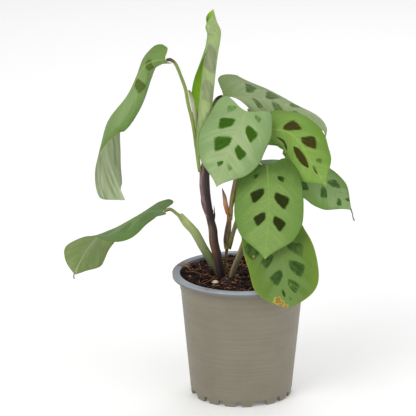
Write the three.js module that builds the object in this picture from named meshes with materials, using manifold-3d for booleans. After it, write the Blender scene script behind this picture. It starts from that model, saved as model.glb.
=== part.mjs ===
// A prayer plant (Maranta) in a 12 cm nursery pot: nine spotted leaves on two canes, at real size.
// Millimetres, +Z up. The origin is on the pot's axis at the ground, and -Y is the front.
//
// The pot is a thin formed shell with a flanged rim and sixteen small feet. It is filled with soil, and
// each cane or stalk stands in a plain hole in that soil. A leaf is one thin curved sheet: its outline is a
// formula, its midrib is a curve through a few points, and each half of it bends away from the midrib.

import * as THREE from 'three';
import { mergeVertices } from 'three/addons/utils/BufferGeometryUtils.js';
import Module from 'manifold-3d';

const wasm = await Module();
wasm.setup();

// Driving sizes
const GAP = 0.3;                // between touching pieces
const LEAF_THICKNESS = 0.75;
const SHEATH_THICKNESS = 0.7;

const POT = {
  height: 109,
  rimRadius: 60,
  rimInnerRadius: 53.4,         // where the flat rim turns down into the pot
  rimThickness: 1.2,
  rimRound: 0.9,                // the rim's edges are rounded by this
  lipDrop: 3.5,                 // how far the rim's outer edge hangs down
  lipThickness: 1,
  underRim: 4,                  // the wall starts to turn out this far below the top
  wall: 0.95,
  baseRadius: 43.6,             // outer wall radius, carried down to the ground
  taper: 0.0965,                // outer wall radius gained for each mm of height
  ringHeight: 94,               // small outward step below the rim
  ringStep: 0.4,
  footHeight: 5,
  footInset: 1.6,               // the feet are this much narrower than a wall's thickness needs
  floorStep: 0.4,               // the notches stop this far below the floor, its edge is this far above
  padRadius: 10,                // the middle of the floor is pressed down to the ground
  padSlope: 6,                  // and rises to the floor over this width
};
const DRAIN = { radius: 3.5, circle: 28, count: 6, cutDepth: 6, sides: 10 };
const FEET = {
  sectors: 4,                   // each has four feet with narrow notches, then one wide gap
  perSector: 4,
  footAngle: 15,
  notchAngle: 5,
  slopeAngle: 2,                // a foot's side slopes over this angle
  firstFoot: 28.4,              // degrees to the right of the front
};
const FOOT_GROUP = FEET.perSector * (FEET.footAngle + FEET.notchAngle) - FEET.notchAngle;
const WIDE_GAP = 360 / FEET.sectors - FOOT_GROUP;
const SOIL = {
  level: 106.8,
  sectors: 24,
  rings: [1, 0.85, 0.68, 0.5, 0.32, 0.15],
  facetRoom: 0.3,               // the pot's wall is faceted, so it comes this much further in
  middleHeight: 55,             // one ring of points half way up
  bottomStep: 3,                // its lower edge is cut off by this
  mound: { x: -14, y: -10, height: 0.8, spread: 12 },
};

// Canes and stalks. Points are where each one passes, from its foot to its top, with a radius for each
// point. flat is its depth from front to back over its width.
const STEMS = {
  cane: {
    path: [[-17, -7, 94], [-18, -8, 107], [-19, -9, 115], [-21, -10, 126], [-24, -11, 139], [-25, -12, 151],
      [-27, -13, 160], [-29, -14, 170], [-31, -15, 181], [-32, -16, 192], [-32, -17, 203], [-32, -18, 212]],
    radii: [3, 3, 3.3, 3.8, 4, 3.8, 3.3, 3.8, 4.3, 4.5, 4.1, 2.6],
  },
  side_stem: {
    path: [[-15, 0, 94], [-15, -1, 106], [-14, -2, 118], [-13, -3, 129], [-13, -3, 132], [-13, -4, 139],
      [-12, -5, 148], [-11, -6, 157], [-11, -6, 164]],
    radii: [1.3, 1.2, 1.2, 1.4, 2.3, 2.9, 2.8, 2.1, 1.9],
  },
  stalk_tall: {
    path: [[-36, -20, 205], [-37, -20, 211], [-39, -21, 227], [-42, -22, 248], [-46, -23, 266],
      [-48, -24, 278], [-52, -25, 290], [-56, -26, 300], [-60, -26, 304], [-64, -26, 304]],
    radii: [1.6, 1.6, 1.6, 1.5, 1.5, 1.5, 1.4, 1.4, 1.3, 1.2],
  },
  stalk_low: {
    path: [[-19, 2, 92], [-20, -1, 108], [-26, -5, 120], [-33, -14, 135], [-41, -21, 151],
      [-48, -25, 160], [-53, -27, 167], [-56, -28, 170], [-61, -29, 174], [-66, -30, 173]],
    radii: [2.6, 3.2, 3.6, 3.6, 3.2, 2.8, 2, 1.4, 1.3, 1.2],
    flat: 0.65,
  },
  stalk_rolled: {
    path: [[-32, -18, 212], [-32, -18, 216], [-32, -18, 220]],
    radii: [2.4, 2.1, 1.7],
  },
  stalk_back: {
    path: [[-30, -14, 205], [-30, -13, 212], [-29, -12, 226], [-27, -9, 247], [-24, -8, 261], [-21, -8, 266],
      [-17, -8, 268]],
    radii: [1.5, 1.5, 1.5, 1.4, 1.4, 1.4, 1.2],
  },
  stalk_pale: {
    path: [[-10, -8, 164], [-9, -9, 178], [-6, -13, 196], [-2, -20, 222], [4, -27, 248], [6, -31, 259],
      [5, -33, 263]],
    radii: [1.5, 1.4, 1.4, 1.3, 1.3, 1.2, 1.2],
  },
  stalk_bright: {
    path: [[-10, -4, 164], [-7, -3, 176], [-3, -4, 194], [7, -8, 220], [13, -16, 238], [17, -19, 242]],
    radii: [1.5, 1.4, 1.4, 1.3, 1.3, 1.2],
  },
  stalk_middle: {
    path: [[-11, -6, 132], [-10, -7, 138], [-8, -8, 145], [-5, -12, 157], [1, -18, 179], [11, -26, 201],
      [17, -32, 213], [20, -34, 214]],
    radii: [0.8, 1.7, 1.9, 1.7, 1.5, 1.4, 1.3, 1.2],
  },
  stalk_side: {
    path: [[-10, -2, 130], [-9, -2, 136], [-7, -1, 145], [-3, 0, 156], [3, -2, 179], [13, -6, 200],
      [18, -8, 206]],
    radii: [0.8, 1.4, 1.6, 1.5, 1.4, 1.3, 1.2],
  },
  stalk_hanging: {
    path: [[-11, -10, 95], [-9, -12, 107], [-6, -14, 118], [-2, -17, 129], [2, -21, 143], [8, -27, 159],
      [16, -32, 168], [21, -34, 170]],
    radii: [2.2, 2.4, 2.6, 2.8, 2.4, 1.6, 1.3, 1.2],
    flat: 0.7,
  },
  bract: {
    path: [[-12, -9, 164], [-14, -9, 172], [-15, -9, 179], [-17, -10, 187]],
    radii: [2, 2.1, 1.7, 0.35],
    flat: 0.45,
  },
};
const PLANTED = ['cane', 'side_stem', 'stalk_low', 'stalk_hanging'];
const STEM_SIDES = 7;
const STEPS_PER_POINT = 2;

// Leaves. midrib is where the midrib passes, from the stalk to the tip. face is the way the upper side
// looks, blended from base to tip. width and lobe are the blade's full width and how far its base lobes
// reach back past the stalk; peak is how far along it is widest; root is the base's width over the full
// width; blunt is larger for a fuller tip. left and right are the two halves seen from above with the tip
// away: fold is their slope at the midrib and curl is the bend from midrib to margin, both in degrees
// downwards and blended from base to tip. ruffle is the margin's wave: height, waves and start.
const LEAVES = {
  tall: {
    midrib: [[-65, -26, 304], [-73, -24, 303], [-82, -21, 298], [-89, -18, 286], [-98, -15, 269],
      [-111, -13, 252], [-116, -14, 241], [-116, -16, 226], [-110, -19, 204], [-100, -22, 180]],
    face: [[-0.5, -0.6, 0.7], [-1, 0.5, 0.45], [-0.1, 1, 0]],
    width: 46, lobe: 3, peak: 0.78, root: 0.42, blunt: 6,
    left: { fold: [-60, 20, 30, -105, -110], curl: [100, 90, 60] },
    right: { fold: [80, 60, 20, -10, 20], curl: [120, 220, 130, 0, 30] },
    ruffle: [1, 2, 0], rows: 23, columns: 13,
  },
  low: {
    midrib: [[-67, -30, 173], [-83, -26, 170], [-106, -20, 156], [-121, -18, 148], [-131, -20, 138],
      [-139, -24, 125], [-143, -27, 115]],
    face: [[-0.2, 0, 1], [-0.3, 0.9, 1], [-0.4, 0.9, 0.4]],
    width: 60, lobe: 6, peak: 0.5, root: 0.45, blunt: 7,
    left: { fold: [-10, -20, -5], curl: [0, 20, 10] },
    right: { fold: [-5, 60, 35, 0, 0], curl: [0, 30, 20, 0, 0] },
    ruffle: [1, 2, 1], rows: 21, columns: 12,
  },
  rolled: {
    midrib: [[-32, -18, 221], [-28, -18, 245], [-25, -18, 275], [-22, -18, 302], [-19, -18, 321],
      [-19, -18, 328], [-22, -18, 335], [-25, -19, 346]],
    face: [[-0.9, -0.45, 0], [-0.9, -0.45, 0], [-1, -0.2, 0]],
    width: 42, lobe: 3, peak: 0.5, root: 0.42, blunt: 6,
    left: { fold: [0, 0, 0], curl: [-215, -215, -215] },
    right: { fold: [0, 0, 0], curl: [-60, -20, -200, -330] },
    ruffle: [0, 1, 0], rows: 18, columns: 20,
  },
  pale: {
    midrib: [[3, -34, 262], [-2, -40, 250], [-10, -45, 234], [-16, -48, 218], [-22, -50, 200]],
    face: [[-0.1, -0.85, 0.5], [-0.1, -0.95, 0.35], [-0.1, -1, 0.2]],
    width: 61, lobe: 7, peak: 0.34, root: 0.68, blunt: 2.3,
    left: { fold: [0, 0, 0], curl: [15, 20, 10] },
    right: { fold: [0, 0, 0], curl: [70, 40, 10] },
    ruffle: [1, 2, 0], rows: 20, columns: 11,
  },
  back: {
    midrib: [[-16, -8, 268], [3, 3, 265], [23, 14, 258], [49, 21, 247], [66, 24, 240], [73, 25, 231],
      [72, 25, 221]],
    face: [[-0.2, -0.8, 0.5], [0.1, -0.35, 1], [0.9, -0.1, 0.3]],
    width: 52, lobe: 2, peak: 0.36, root: 0.55, blunt: 2.6,
    left: { fold: [-70, 10, 40, 30], curl: [20, 60, 60, 30] },
    right: { fold: [-5, 0, 20], curl: [20, 40, 60] },
    ruffle: [0.8, 2, 0], rows: 22, columns: 11,
  },
  bright: {
    midrib: [[18, -20, 242], [29, -24, 243], [40, -29, 241], [49, -33, 233], [57, -35, 219], [71, -35, 197]],
    face: [[0, -0.85, 0.5], [0.15, -0.95, 0.4], [0.2, -0.95, 0.3]],
    width: 48, lobe: 5, peak: 0.45, root: 0.45, blunt: 2.8,
    left: { fold: [35, 25, 0], curl: [50, 70, 40] },
    right: { fold: [10, 0, 0], curl: [30, 40, 20] },
    ruffle: [1, 2, 2], rows: 20, columns: 12,
  },
  side: {
    midrib: [[19, -8, 206], [37, -8, 204], [55, -8, 199], [73, -8, 189], [94, -8, 167]],
    face: [[0.1, -0.35, 0.95], [0.2, -0.25, 0.9], [0.3, -0.5, 0.8]],
    width: 47, lobe: 6, peak: 0.45, root: 0.45, blunt: 2.8,
    left: { fold: [0, 10, 40], curl: [10, 20, 30] },
    right: { fold: [10, 0, -20], curl: [25, 20, 10] },
    ruffle: [1, 2, 1], rows: 20, columns: 11,
  },
  middle: {
    midrib: [[21, -34, 214], [22, -44, 196], [22, -52, 179], [21, -58, 162], [19, -62, 140]],
    face: [[0, -0.8, 0.6], [0, -0.95, 0.35], [0, -1, 0.2]],
    width: 60, lobe: 6, peak: 0.42, root: 0.5, blunt: 2.8,
    left: { fold: [5, 5, 5], curl: [25, 25, 15] },
    right: { fold: [0, 0, 5], curl: [10, 15, 15] },
    ruffle: [0.8, 2, 0], rows: 20, columns: 11,
  },
  hanging: {
    midrib: [[22, -34, 169], [27, -44, 153], [33, -54, 138], [37, -61, 120], [40, -66, 98]],
    face: [[0, -0.75, 0.65], [0, -0.9, 0.4], [0, -1, 0.2]],
    width: 59, lobe: 7, peak: 0.45, root: 0.5, blunt: 4.5,
    left: { fold: [0, 0, 0], curl: [15, 15, 10] },
    right: { fold: [0, 0, 0], curl: [15, 15, 10] },
    ruffle: [0.8, 2, 2], rows: 20, columns: 11,
  },
};
const TIP_HALF_WIDTH = 0.8;
const SIDE_PHASE = 2.1;         // the two margins' waves are out of step by this
const SWEEP = 0.06;             // the margins lie this share of the length nearer the tip

const COLOURS = {
  pot: 0x8c8476, soil: 0x33231a, perlite_grain: 0xe6e0cf, crown: 0x2b1c1a, cane: 0x4a3236,
  side_stem: 0x5a3a2c, bract: 0xa5683f, sheath: 0xb9bf8e, stalk: 0x98a552, leaf: 0x7fa35a,
};

const radians = THREE.MathUtils.degToRad;
const vector = ([x, y, z]) => new THREE.Vector3(x, y, z);

// Solids

// A BufferGeometry from points and triangles, turned inside out if its volume comes out negative.
function solidFrom(points, triangles) {
  let volume = 0;
  for (const [a, b, c] of triangles) {
    volume += points[a].dot(new THREE.Vector3().crossVectors(points[b], points[c]));
  }
  const index = triangles.flatMap(([a, b, c]) => (volume > 0 ? [a, b, c] : [a, c, b]));
  const geometry = new THREE.BufferGeometry().setFromPoints(points);
  geometry.setIndex(index);
  return geometry;
}

// Rings of equally many points, joined ring to ring, with a fan to one point at each end.
function ringSolid(rings, firstCentre, lastCentre) {
  const count = rings[0].length;
  const points = [...rings.flat(), firstCentre, lastCentre];
  const first = points.length - 2;
  const last = points.length - 1;
  const triangles = [];
  for (let j = 0; j < count; j += 1) {
    const next = (j + 1) % count;
    for (let i = 0; i + 1 < rings.length; i += 1) {
      const [a, b] = [i * count + j, i * count + next];
      triangles.push([a, b, b + count], [a, b + count, a + count]);
    }
    const end = (rings.length - 1) * count;
    triangles.push([first, next, j], [last, end + j, end + next]);
  }
  return solidFrom(points, triangles);
}

// A sheet of even thickness round the surface at(t, s), t from 0 to 1 and s from -1 to 1. Both faces are
// split into the same triangles, and rows are closer together near both ends.
function sheetSolid(at, thickness, rows, columns) {
  const step = 1e-3;
  const [upper, lower] = [[], []];
  for (let i = 0; i <= rows; i += 1) {
    const t = (1 - Math.cos((Math.PI * i) / rows)) / 2;
    for (let j = 0; j <= columns; j += 1) {
      const s = (2 * j) / columns - 1;
      const along = at(Math.min(t + step, 1), s).sub(at(Math.max(t - step, 0), s));
      const across = at(t, Math.min(s + step, 1)).sub(at(t, Math.max(s - step, -1)));
      const normal = across.cross(along).setLength(thickness / 2);
      upper.push(at(t, s).add(normal));
      lower.push(at(t, s).sub(normal));
    }
  }
  const width = columns + 1;
  const under = upper.length;
  const triangles = [];
  for (let i = 0; i < rows; i += 1) {
    for (let j = 0; j < columns; j += 1) {
      const a = i * width + j;
      const [b, c, d] = [a + 1, a + width + 1, a + width];
      triangles.push([a, b, c], [a, c, d]);
      triangles.push([under + a, under + c, under + b], [under + a, under + d, under + c]);
    }
  }
  const rim = [];
  for (let j = 0; j < columns; j += 1) rim.push([j + 1, j], [rows * width + j, rows * width + j + 1]);
  for (let i = 0; i < rows; i += 1) {
    rim.push([i * width, (i + 1) * width], [(i + 1) * width + columns, i * width + columns]);
  }
  for (const [a, b] of rim) triangles.push([a, b, under + b], [a, under + b, under + a]);
  return solidFrom([...upper, ...lower], triangles);
}

// The same geometry with shared corners merged, as a solid that can be cut.
function cuttable(geometry) {
  const bare = geometry.clone();
  bare.deleteAttribute('normal');
  bare.deleteAttribute('uv');
  const merged = mergeVertices(bare, 1e-4);
  return new wasm.Manifold(new wasm.Mesh({
    numProp: 3,
    vertProperties: new Float32Array(merged.attributes.position.array),
    triVerts: new Uint32Array(merged.index.array),
  }));
}

// What is left of a geometry after the cutters are taken from it: its largest piece.
function carve(geometry, cutters) {
  const body = cutters.reduce((left, cutter) => left.subtract(cutter), cuttable(geometry));
  const pieces = body.decompose().sort((a, b) => b.volume() - a.volume());
  const mesh = pieces[0].getMesh();
  const carved = new THREE.BufferGeometry();
  carved.setAttribute('position', new THREE.BufferAttribute(mesh.vertProperties, 3));
  carved.setIndex(new THREE.BufferAttribute(mesh.triVerts, 1));
  return carved;
}

// The pot

// How high the foot ring's lower edge is at an angle: the ground under a foot, just under the floor between.
function footRing() {
  const ring = [];
  const { sectors, perSector, footAngle, notchAngle, slopeAngle, firstFoot } = FEET;
  const raised = POT.footHeight - POT.floorStep;
  for (let k = 0; k < sectors; k += 1) {
    for (let foot = 0; foot < perSector; foot += 1) {
      const start = firstFoot + (360 / sectors) * k + (footAngle + notchAngle) * foot;
      const end = start + footAngle;
      ring.push([start, raised], [start + slopeAngle, 0], [end - slopeAngle, 0], [end, raised]);
    }
    ring.push([firstFoot + (360 / sectors) * (k + 1) - WIDE_GAP / 2, raised]);
  }
  return ring;
}

// The shell's section from the middle of its underside, up the outside, over the rim and down inside.
function potSection(lowerEdge) {
  const { height, rimRadius, rimInnerRadius, rimRound, lipDrop, wall, ringHeight, footHeight } = POT;
  const outer = (z) => POT.baseRadius + POT.taper * z + (z > ringHeight ? POT.ringStep : 0);
  const foot = outer(0) - POT.footInset - wall;
  const padEdge = POT.padRadius + POT.padSlope;
  const lip = rimRadius - POT.lipThickness;
  const underside = height - POT.rimThickness;
  const top = height - POT.underRim;
  return [
    [POT.padRadius, 0], [padEdge, footHeight], [foot - 1, footHeight],
    [foot, lowerEdge], [outer(0), lowerEdge], [outer(footHeight) + 0.1, footHeight + POT.floorStep],
    [outer(ringHeight), ringHeight], [outer(ringHeight + 1), ringHeight + 1], [outer(top), top],
    [rimInnerRadius + rimRound, underside - 0.1], [lip - 0.1, underside], [lip, height - lipDrop],
    [rimRadius - 0.1, height - lipDrop], [rimRadius, height - rimRound], [rimRadius - rimRound, height],
    [rimInnerRadius + rimRound, height], [rimInnerRadius, height - 0.5], [outer(top) - wall, top],
    [outer(ringHeight + 1) - wall, ringHeight + 1], [outer(ringHeight) - wall, ringHeight],
    [outer(footHeight) - wall, footHeight + 2], [foot - 1, footHeight + wall],
    [padEdge + 0.3, footHeight + wall], [POT.padRadius + 0.3, wall],
  ];
}

function potGeometry() {
  const edges = footRing();
  const rings = potSection(0).map((_, i) => edges.map(([degrees, lowerEdge]) => {
    const [r, z] = potSection(lowerEdge)[i];
    const angle = radians(degrees);
    return new THREE.Vector3(r * Math.sin(angle), -r * Math.cos(angle), z);
  }));
  const shell = ringSolid(rings, new THREE.Vector3(0, 0, 0), new THREE.Vector3(0, 0, POT.wall));
  const holes = [];
  for (let k = 0; k < DRAIN.count; k += 1) {
    const angle = (2 * Math.PI * k) / DRAIN.count;
    const hole = new THREE.CylinderGeometry(DRAIN.radius, DRAIN.radius, DRAIN.cutDepth, DRAIN.sides);
    hole.rotateX(Math.PI / 2);
    hole.translate(DRAIN.circle * Math.cos(angle), DRAIN.circle * Math.sin(angle), POT.footHeight);
    holes.push(cuttable(hole));
  }
  return carve(shell, holes);
}

// The soil and what lies on it

// Height of the soil at a place: slow lumps and a low mound round the canes.
function soilHeight(x, y) {
  const { level, mound } = SOIL;
  const wide = 0.9 * Math.sin(0.21 * x + 0.6) * Math.cos(0.17 * y - 0.4);
  const fine = 0.6 * Math.sin(0.43 * x - 0.29 * y + 1.1);
  const away = Math.hypot(x - mound.x, y - mound.y) / mound.spread;
  return level + wide + fine + mound.height * Math.exp(-away * away);
}

function soilGeometry() {
  const inside = (z) => POT.baseRadius + POT.taper * z - POT.wall - GAP - SOIL.facetRoom;
  const floor = POT.footHeight + POT.wall + GAP;
  const ringAt = (radius, height) => Array.from({ length: SOIL.sectors }, (_, k) => {
    const angle = (2 * Math.PI * k) / SOIL.sectors;
    const [x, y] = [radius * Math.cos(angle), radius * Math.sin(angle)];
    return new THREE.Vector3(x, y, height(x, y));
  });
  const topRadius = inside(SOIL.level - 2);
  const rings = [
    ringAt(inside(floor) - SOIL.bottomStep, () => floor),
    ringAt(inside(floor + SOIL.bottomStep), () => floor + SOIL.bottomStep),
    ringAt(inside(SOIL.middleHeight), () => SOIL.middleHeight),
    ...SOIL.rings.map((share) => ringAt(topRadius * share, soilHeight)),
  ];
  return ringSolid(rings, new THREE.Vector3(0, 0, floor), new THREE.Vector3(0, 0, soilHeight(0, 0)));
}

// A small lump: a ball pressed to three radii, with a slight unevenness.
function lumpGeometry(centre, radii, roughness) {
  const ball = new THREE.IcosahedronGeometry(1, 1);
  const position = ball.attributes.position;
  for (let i = 0; i < position.count; i += 1) {
    const p = new THREE.Vector3().fromBufferAttribute(position, i);
    const swell = 1 + roughness * Math.sin(5 * p.x + 1) * Math.cos(4 * p.y + 3 * p.z);
    p.multiply(vector(radii)).multiplyScalar(swell).add(vector(centre));
    position.setXYZ(i, p.x, p.y, p.z);
  }
  return ball;
}

// Canes, stalks and sheaths

// The curve, radii and cross directions of a stem at u from 0 to 1. extra widens it all round.
function stemRing(stem, curve, u, extra) {
  const place = u * (stem.radii.length - 1);
  const i = Math.min(Math.floor(place), stem.radii.length - 2);
  const radius = THREE.MathUtils.lerp(stem.radii[i], stem.radii[i + 1], place - i);
  const along = curve.getTangent(u);
  const side = new THREE.Vector3().crossVectors(along, new THREE.Vector3(0, 1, 0)).normalize();
  const depth = new THREE.Vector3().crossVectors(along, side);
  return Array.from({ length: STEM_SIDES }, (_, k) => {
    const angle = (2 * Math.PI * (k + 0.5)) / STEM_SIDES;
    return curve.getPoint(u)
      .addScaledVector(side, (radius + extra) * Math.cos(angle))
      .addScaledVector(depth, (radius * (stem.flat ?? 1) + extra) * Math.sin(angle));
  });
}

// A stem as a closed tube. With extra it is the space that its neighbours keep clear of.
function stemGeometry(stem, extra = 0) {
  const curve = new THREE.CatmullRomCurve3(stem.path.map(vector), false, 'catmullrom', 0.5);
  const steps = STEPS_PER_POINT * (stem.path.length - 1);
  const rings = Array.from({ length: steps + 1 }, (_, i) => stemRing(stem, curve, i / steps, extra));
  const reach = (u, sign) => curve.getPoint(u).addScaledVector(curve.getTangent(u), sign * extra);
  if (extra > 0) {
    rings.unshift(rings[0].map((p) => p.clone().addScaledVector(curve.getTangent(0), -extra)));
    rings.push(rings.at(-1).map((p) => p.clone().addScaledVector(curve.getTangent(1), extra)));
  }
  return ringSolid(rings, reach(0, -1), reach(1, 1));
}

// The thin sheath wing along the right of the tall leaf's stalk, from a point at its top to a narrow foot.
const WING = { from: 0.54, to: 0.2, narrow: 0.6, width: 3.2, back: 3, rows: 10, columns: 3 };
function wingPoint(t, s) {
  const stem = STEMS.stalk_tall;
  const curve = new THREE.CatmullRomCurve3(stem.path.map(vector), false, 'catmullrom', 0.5);
  const u = THREE.MathUtils.lerp(WING.from, WING.to, t);
  const out = (s + 1) / 2;
  const width = WING.narrow + WING.width * Math.sin(Math.PI * t ** 0.7);
  const side = new THREE.Vector3().crossVectors(new THREE.Vector3(0, 1, 0), curve.getTangent(u)).normalize();
  return curve.getPoint(u)
    .addScaledVector(side, stem.radii[0] + GAP + width * out)
    .add(new THREE.Vector3(0, WING.back * out * out, 0));
}

// Leaves

// Smooth blend of a few values along the leaf, from the first at the base to the last at the tip. The
// ones between pull it towards themselves.
function blend(values, t) {
  if (values.length === 1) return values[0];
  return blend(values.slice(1).map((next, k) => THREE.MathUtils.lerp(values[k], next, t)), t);
}

// Half the blade's width at t. It swells as part of an ellipse from the base to the widest place, and
// closes to the tip as a power curve.
function halfWidth(leaf, t) {
  const { width, peak, root, blunt } = leaf;
  if (t < peak) return (width / 2) * (root + (1 - root) * Math.sqrt(1 - (1 - t / peak) ** 2));
  const q = (t - peak) / (1 - peak);
  return Math.max(TIP_HALF_WIDTH, (width / 2) * (1 - q ** blunt));
}

// The blade's middle surface at t along it and s across it. From the midrib each half runs out along an
// arc, whose slope starts at fold and grows by curl over half the leaf's width.
function leafSurface(leaf) {
  const curve = new THREE.CatmullRomCurve3(leaf.midrib.map(vector), false, 'catmullrom', 0.5);
  const length = curve.getLength();
  const [height, waves, start] = leaf.ruffle;
  return (t, s) => {
    const half = leaf.width / 2;
    const out = Math.abs(s) * halfWidth(leaf, t);
    const lobes = (leaf.lobe * (1 - Math.cos(Math.PI * s)) * (1 - t) ** 3) / 2;
    const sweep = SWEEP * length * s * s * t * (1 - t);
    const share = (length * t - lobes + sweep) / length;
    const inside = THREE.MathUtils.clamp(share, 0, 1);
    const along = curve.getTangentAt(inside);
    const face = new THREE.Vector3(...[0, 1, 2].map((k) => blend(leaf.face.map((f) => f[k]), inside)));
    face.addScaledVector(along, -face.dot(along)).normalize();
    const across = new THREE.Vector3().crossVectors(face, along);
    const side = s < 0 ? leaf.left : leaf.right;
    const fold = radians(blend(side.fold, inside));
    const bend = (radians(blend(side.curl, inside)) * out) / half;
    const chord = out * (Math.abs(bend) > 1e-6 ? Math.sin(bend / 2) / (bend / 2) : 1);
    const slope = fold + bend;
    const phase = start + (s < 0 ? SIDE_PHASE : 0);
    const wave = height * (out / half) ** 2 * Math.sin(2 * Math.PI * waves * share + phase);
    return curve.getPointAt(inside)
      .addScaledVector(along, Math.min(share, 0) * length)
      .addScaledVector(across, Math.sign(s) * (chord * Math.cos(fold + bend / 2) + wave * Math.sin(slope)))
      .addScaledVector(face, wave * Math.cos(slope) - chord * Math.sin(fold + bend / 2));
  };
}

// The plant in its pot
const plant = new THREE.Group();

function addPiece(name, geometry, colour, roughness) {
  const material = new THREE.MeshStandardMaterial({ color: colour, roughness, metalness: 0 });
  const piece = new THREE.Mesh(geometry, material);
  piece.name = name;
  plant.add(piece);
}

const keepClear = {};
for (const [name, stem] of Object.entries(STEMS)) {
  const others = Object.values(keepClear);
  keepClear[name] = cuttable(stemGeometry(stem, GAP));
  const colour = COLOURS[name] ?? COLOURS.stalk;
  addPiece(name, carve(stemGeometry(stem), others), colour, 0.55);
}
const stemCutters = Object.values(keepClear);

const wing = sheetSolid(wingPoint, SHEATH_THICKNESS, WING.rows, WING.columns);
addPiece('sheath_wing', carve(wing, stemCutters), COLOURS.sheath, 0.5);

for (const [name, leaf] of Object.entries(LEAVES)) {
  const blade = sheetSolid(leafSurface(leaf), LEAF_THICKNESS, leaf.rows, leaf.columns);
  addPiece(`leaf_${name}`, carve(blade, stemCutters), COLOURS.leaf, 0.5);
}

const CROWN = { centre: [-13.5, -21, 106.4], radii: [5, 4, 3.4] };
const GRAIN = { centre: [-23, -25.5, 107.6], radii: [3, 2.3, 1.8] };
const UNEVEN = 0.06;
const lump = ({ centre, radii }, extra = 0) => lumpGeometry(centre, radii.map((r) => r + extra), UNEVEN);
addPiece('crown', carve(lump(CROWN), stemCutters), COLOURS.crown, 0.95);
addPiece('perlite_grain', lump(GRAIN), COLOURS.perlite_grain, 0.9);

const holes = PLANTED.map((name) => keepClear[name]);
const hollows = [CROWN, GRAIN].map((shape) => cuttable(lump(shape, GAP)));
addPiece('soil', carve(soilGeometry(), [...holes, ...hollows]), COLOURS.soil, 1);
addPiece('pot', potGeometry(), COLOURS.pot, 0.6);

export default plant;
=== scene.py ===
# %% [markdown]
# A prayer plant in its nursery pot. The real plant is thin leaves on thin stalks, so nearly everything that
# the eye sees is a curved surface. Blender could sculpt or subdivide each one by hand, but a leaf, a stalk
# and a pot all follow a simple rule, and numpy can work out such a rule for thousands of points at once.
# Lengths in this lesson are millimetres, like the part's source, and become metres when a mesh is made.

# %% Load the measured part
import math

import bpy
import numpy as np
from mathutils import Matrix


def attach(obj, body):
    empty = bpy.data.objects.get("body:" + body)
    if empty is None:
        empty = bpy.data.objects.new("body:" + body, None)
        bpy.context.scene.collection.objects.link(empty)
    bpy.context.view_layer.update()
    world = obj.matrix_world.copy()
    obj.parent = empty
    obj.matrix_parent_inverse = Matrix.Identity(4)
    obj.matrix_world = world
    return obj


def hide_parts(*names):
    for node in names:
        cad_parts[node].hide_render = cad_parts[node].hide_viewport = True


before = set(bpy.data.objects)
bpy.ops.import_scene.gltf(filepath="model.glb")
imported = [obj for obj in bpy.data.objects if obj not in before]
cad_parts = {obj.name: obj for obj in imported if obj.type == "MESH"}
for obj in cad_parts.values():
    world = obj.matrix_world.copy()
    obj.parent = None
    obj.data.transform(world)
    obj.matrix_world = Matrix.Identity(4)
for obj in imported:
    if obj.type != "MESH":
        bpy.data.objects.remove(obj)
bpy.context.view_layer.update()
print("nodes in the part:", len(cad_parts))

# %% [markdown]
# The picture was taken from well back, a little above the leaves and almost straight at the pot. A long
# lens far away gives the flat ellipse of the rim. A shorter lens close by would fit the frame too, but it
# would spread the leaves towards the edges.

# %% Camera
MM = 0.001
SENSOR, IMAGE_WIDTH, FOCAL_PIXELS = 36.0, 416, 3239.6
CAMERA_PLACE, CAMERA_DOWN = (-29.1, -2663.9, 973.2), 16.85
NEAREST, FURTHEST = 0.1, 30


def put(name, data):
    """A new object in the scene that shows this data."""
    made = bpy.data.objects.new(name, data)
    bpy.context.collection.objects.link(made)
    return made


view = bpy.data.cameras.new("camera")
view.sensor_width, view.lens = SENSOR, FOCAL_PIXELS / IMAGE_WIDTH * SENSOR
view.clip_start, view.clip_end = NEAREST, FURTHEST
camera = put("camera", view)
camera.location = [value * MM for value in CAMERA_PLACE]
camera.rotation_euler = (math.radians(90 - CAMERA_DOWN), 0, 0)
bpy.context.scene.camera = camera
print("lens:", round(view.lens), "mm")

# %% [markdown]
# The light is a white studio: a bright sky all round, one big soft lamp high on the left of the camera,
# a weaker one on the right and one behind. Big lamps near the plant give the soft shadows that thin
# leaves need.

# %% Light
PLANT_MIDDLE, SKY_STRENGTH = (0, 0, 0.18), 0.58
LAMPS = {"key lamp": ((-0.9, -1.3, 1.5), 1.2, 15), "fill lamp": ((1.3, -1.0, 0.7), 1.4, 5.5),
         "back lamp": ((0.2, 1.2, 1.3), 1.2, 6)}
bpy.context.scene.view_settings.view_transform = "Standard"


def soft_lamp(name, place, size, power):
    """A round area lamp that faces the plant. Place and size in metres, power in watts."""
    data = bpy.data.lights.new(name, "AREA")
    data.shape, data.size, data.energy = "DISK", size, power
    lamp = put(name, data)
    lamp.location = place
    x, y, z = np.array(PLANT_MIDDLE) - np.array(place)
    lamp.rotation_euler = (math.atan2(math.hypot(x, y), -z), 0, math.atan2(-x, y))


for name, settings in LAMPS.items():
    soft_lamp(name, *settings)
world = bpy.data.worlds.new("white studio")
world.use_nodes = True
sky = world.node_tree.nodes["Background"].inputs
sky["Color"].default_value, sky["Strength"].default_value = (1, 1, 1, 1), SKY_STRENGTH
bpy.context.scene.world = world
print("lamps:", len(LAMPS))

# %% [markdown]
# A material in Blender is a graph of small nodes. Typing each link by hand hides what the graph says, so a
# short class writes them: each of its methods adds one node, feeds it and gives back what comes out.

# %% A way to write materials


def paint(red, green, blue):
    """A colour as seen on a screen, 0 to 255, as the linear colour that a shader needs."""
    seen = np.array([red, green, blue]) / 255
    linear = np.where(seen < 0.04045, seen / 12.92, ((seen + 0.055) / 1.055) ** 2.4)
    return (*linear.tolist(), 1.0)


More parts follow.
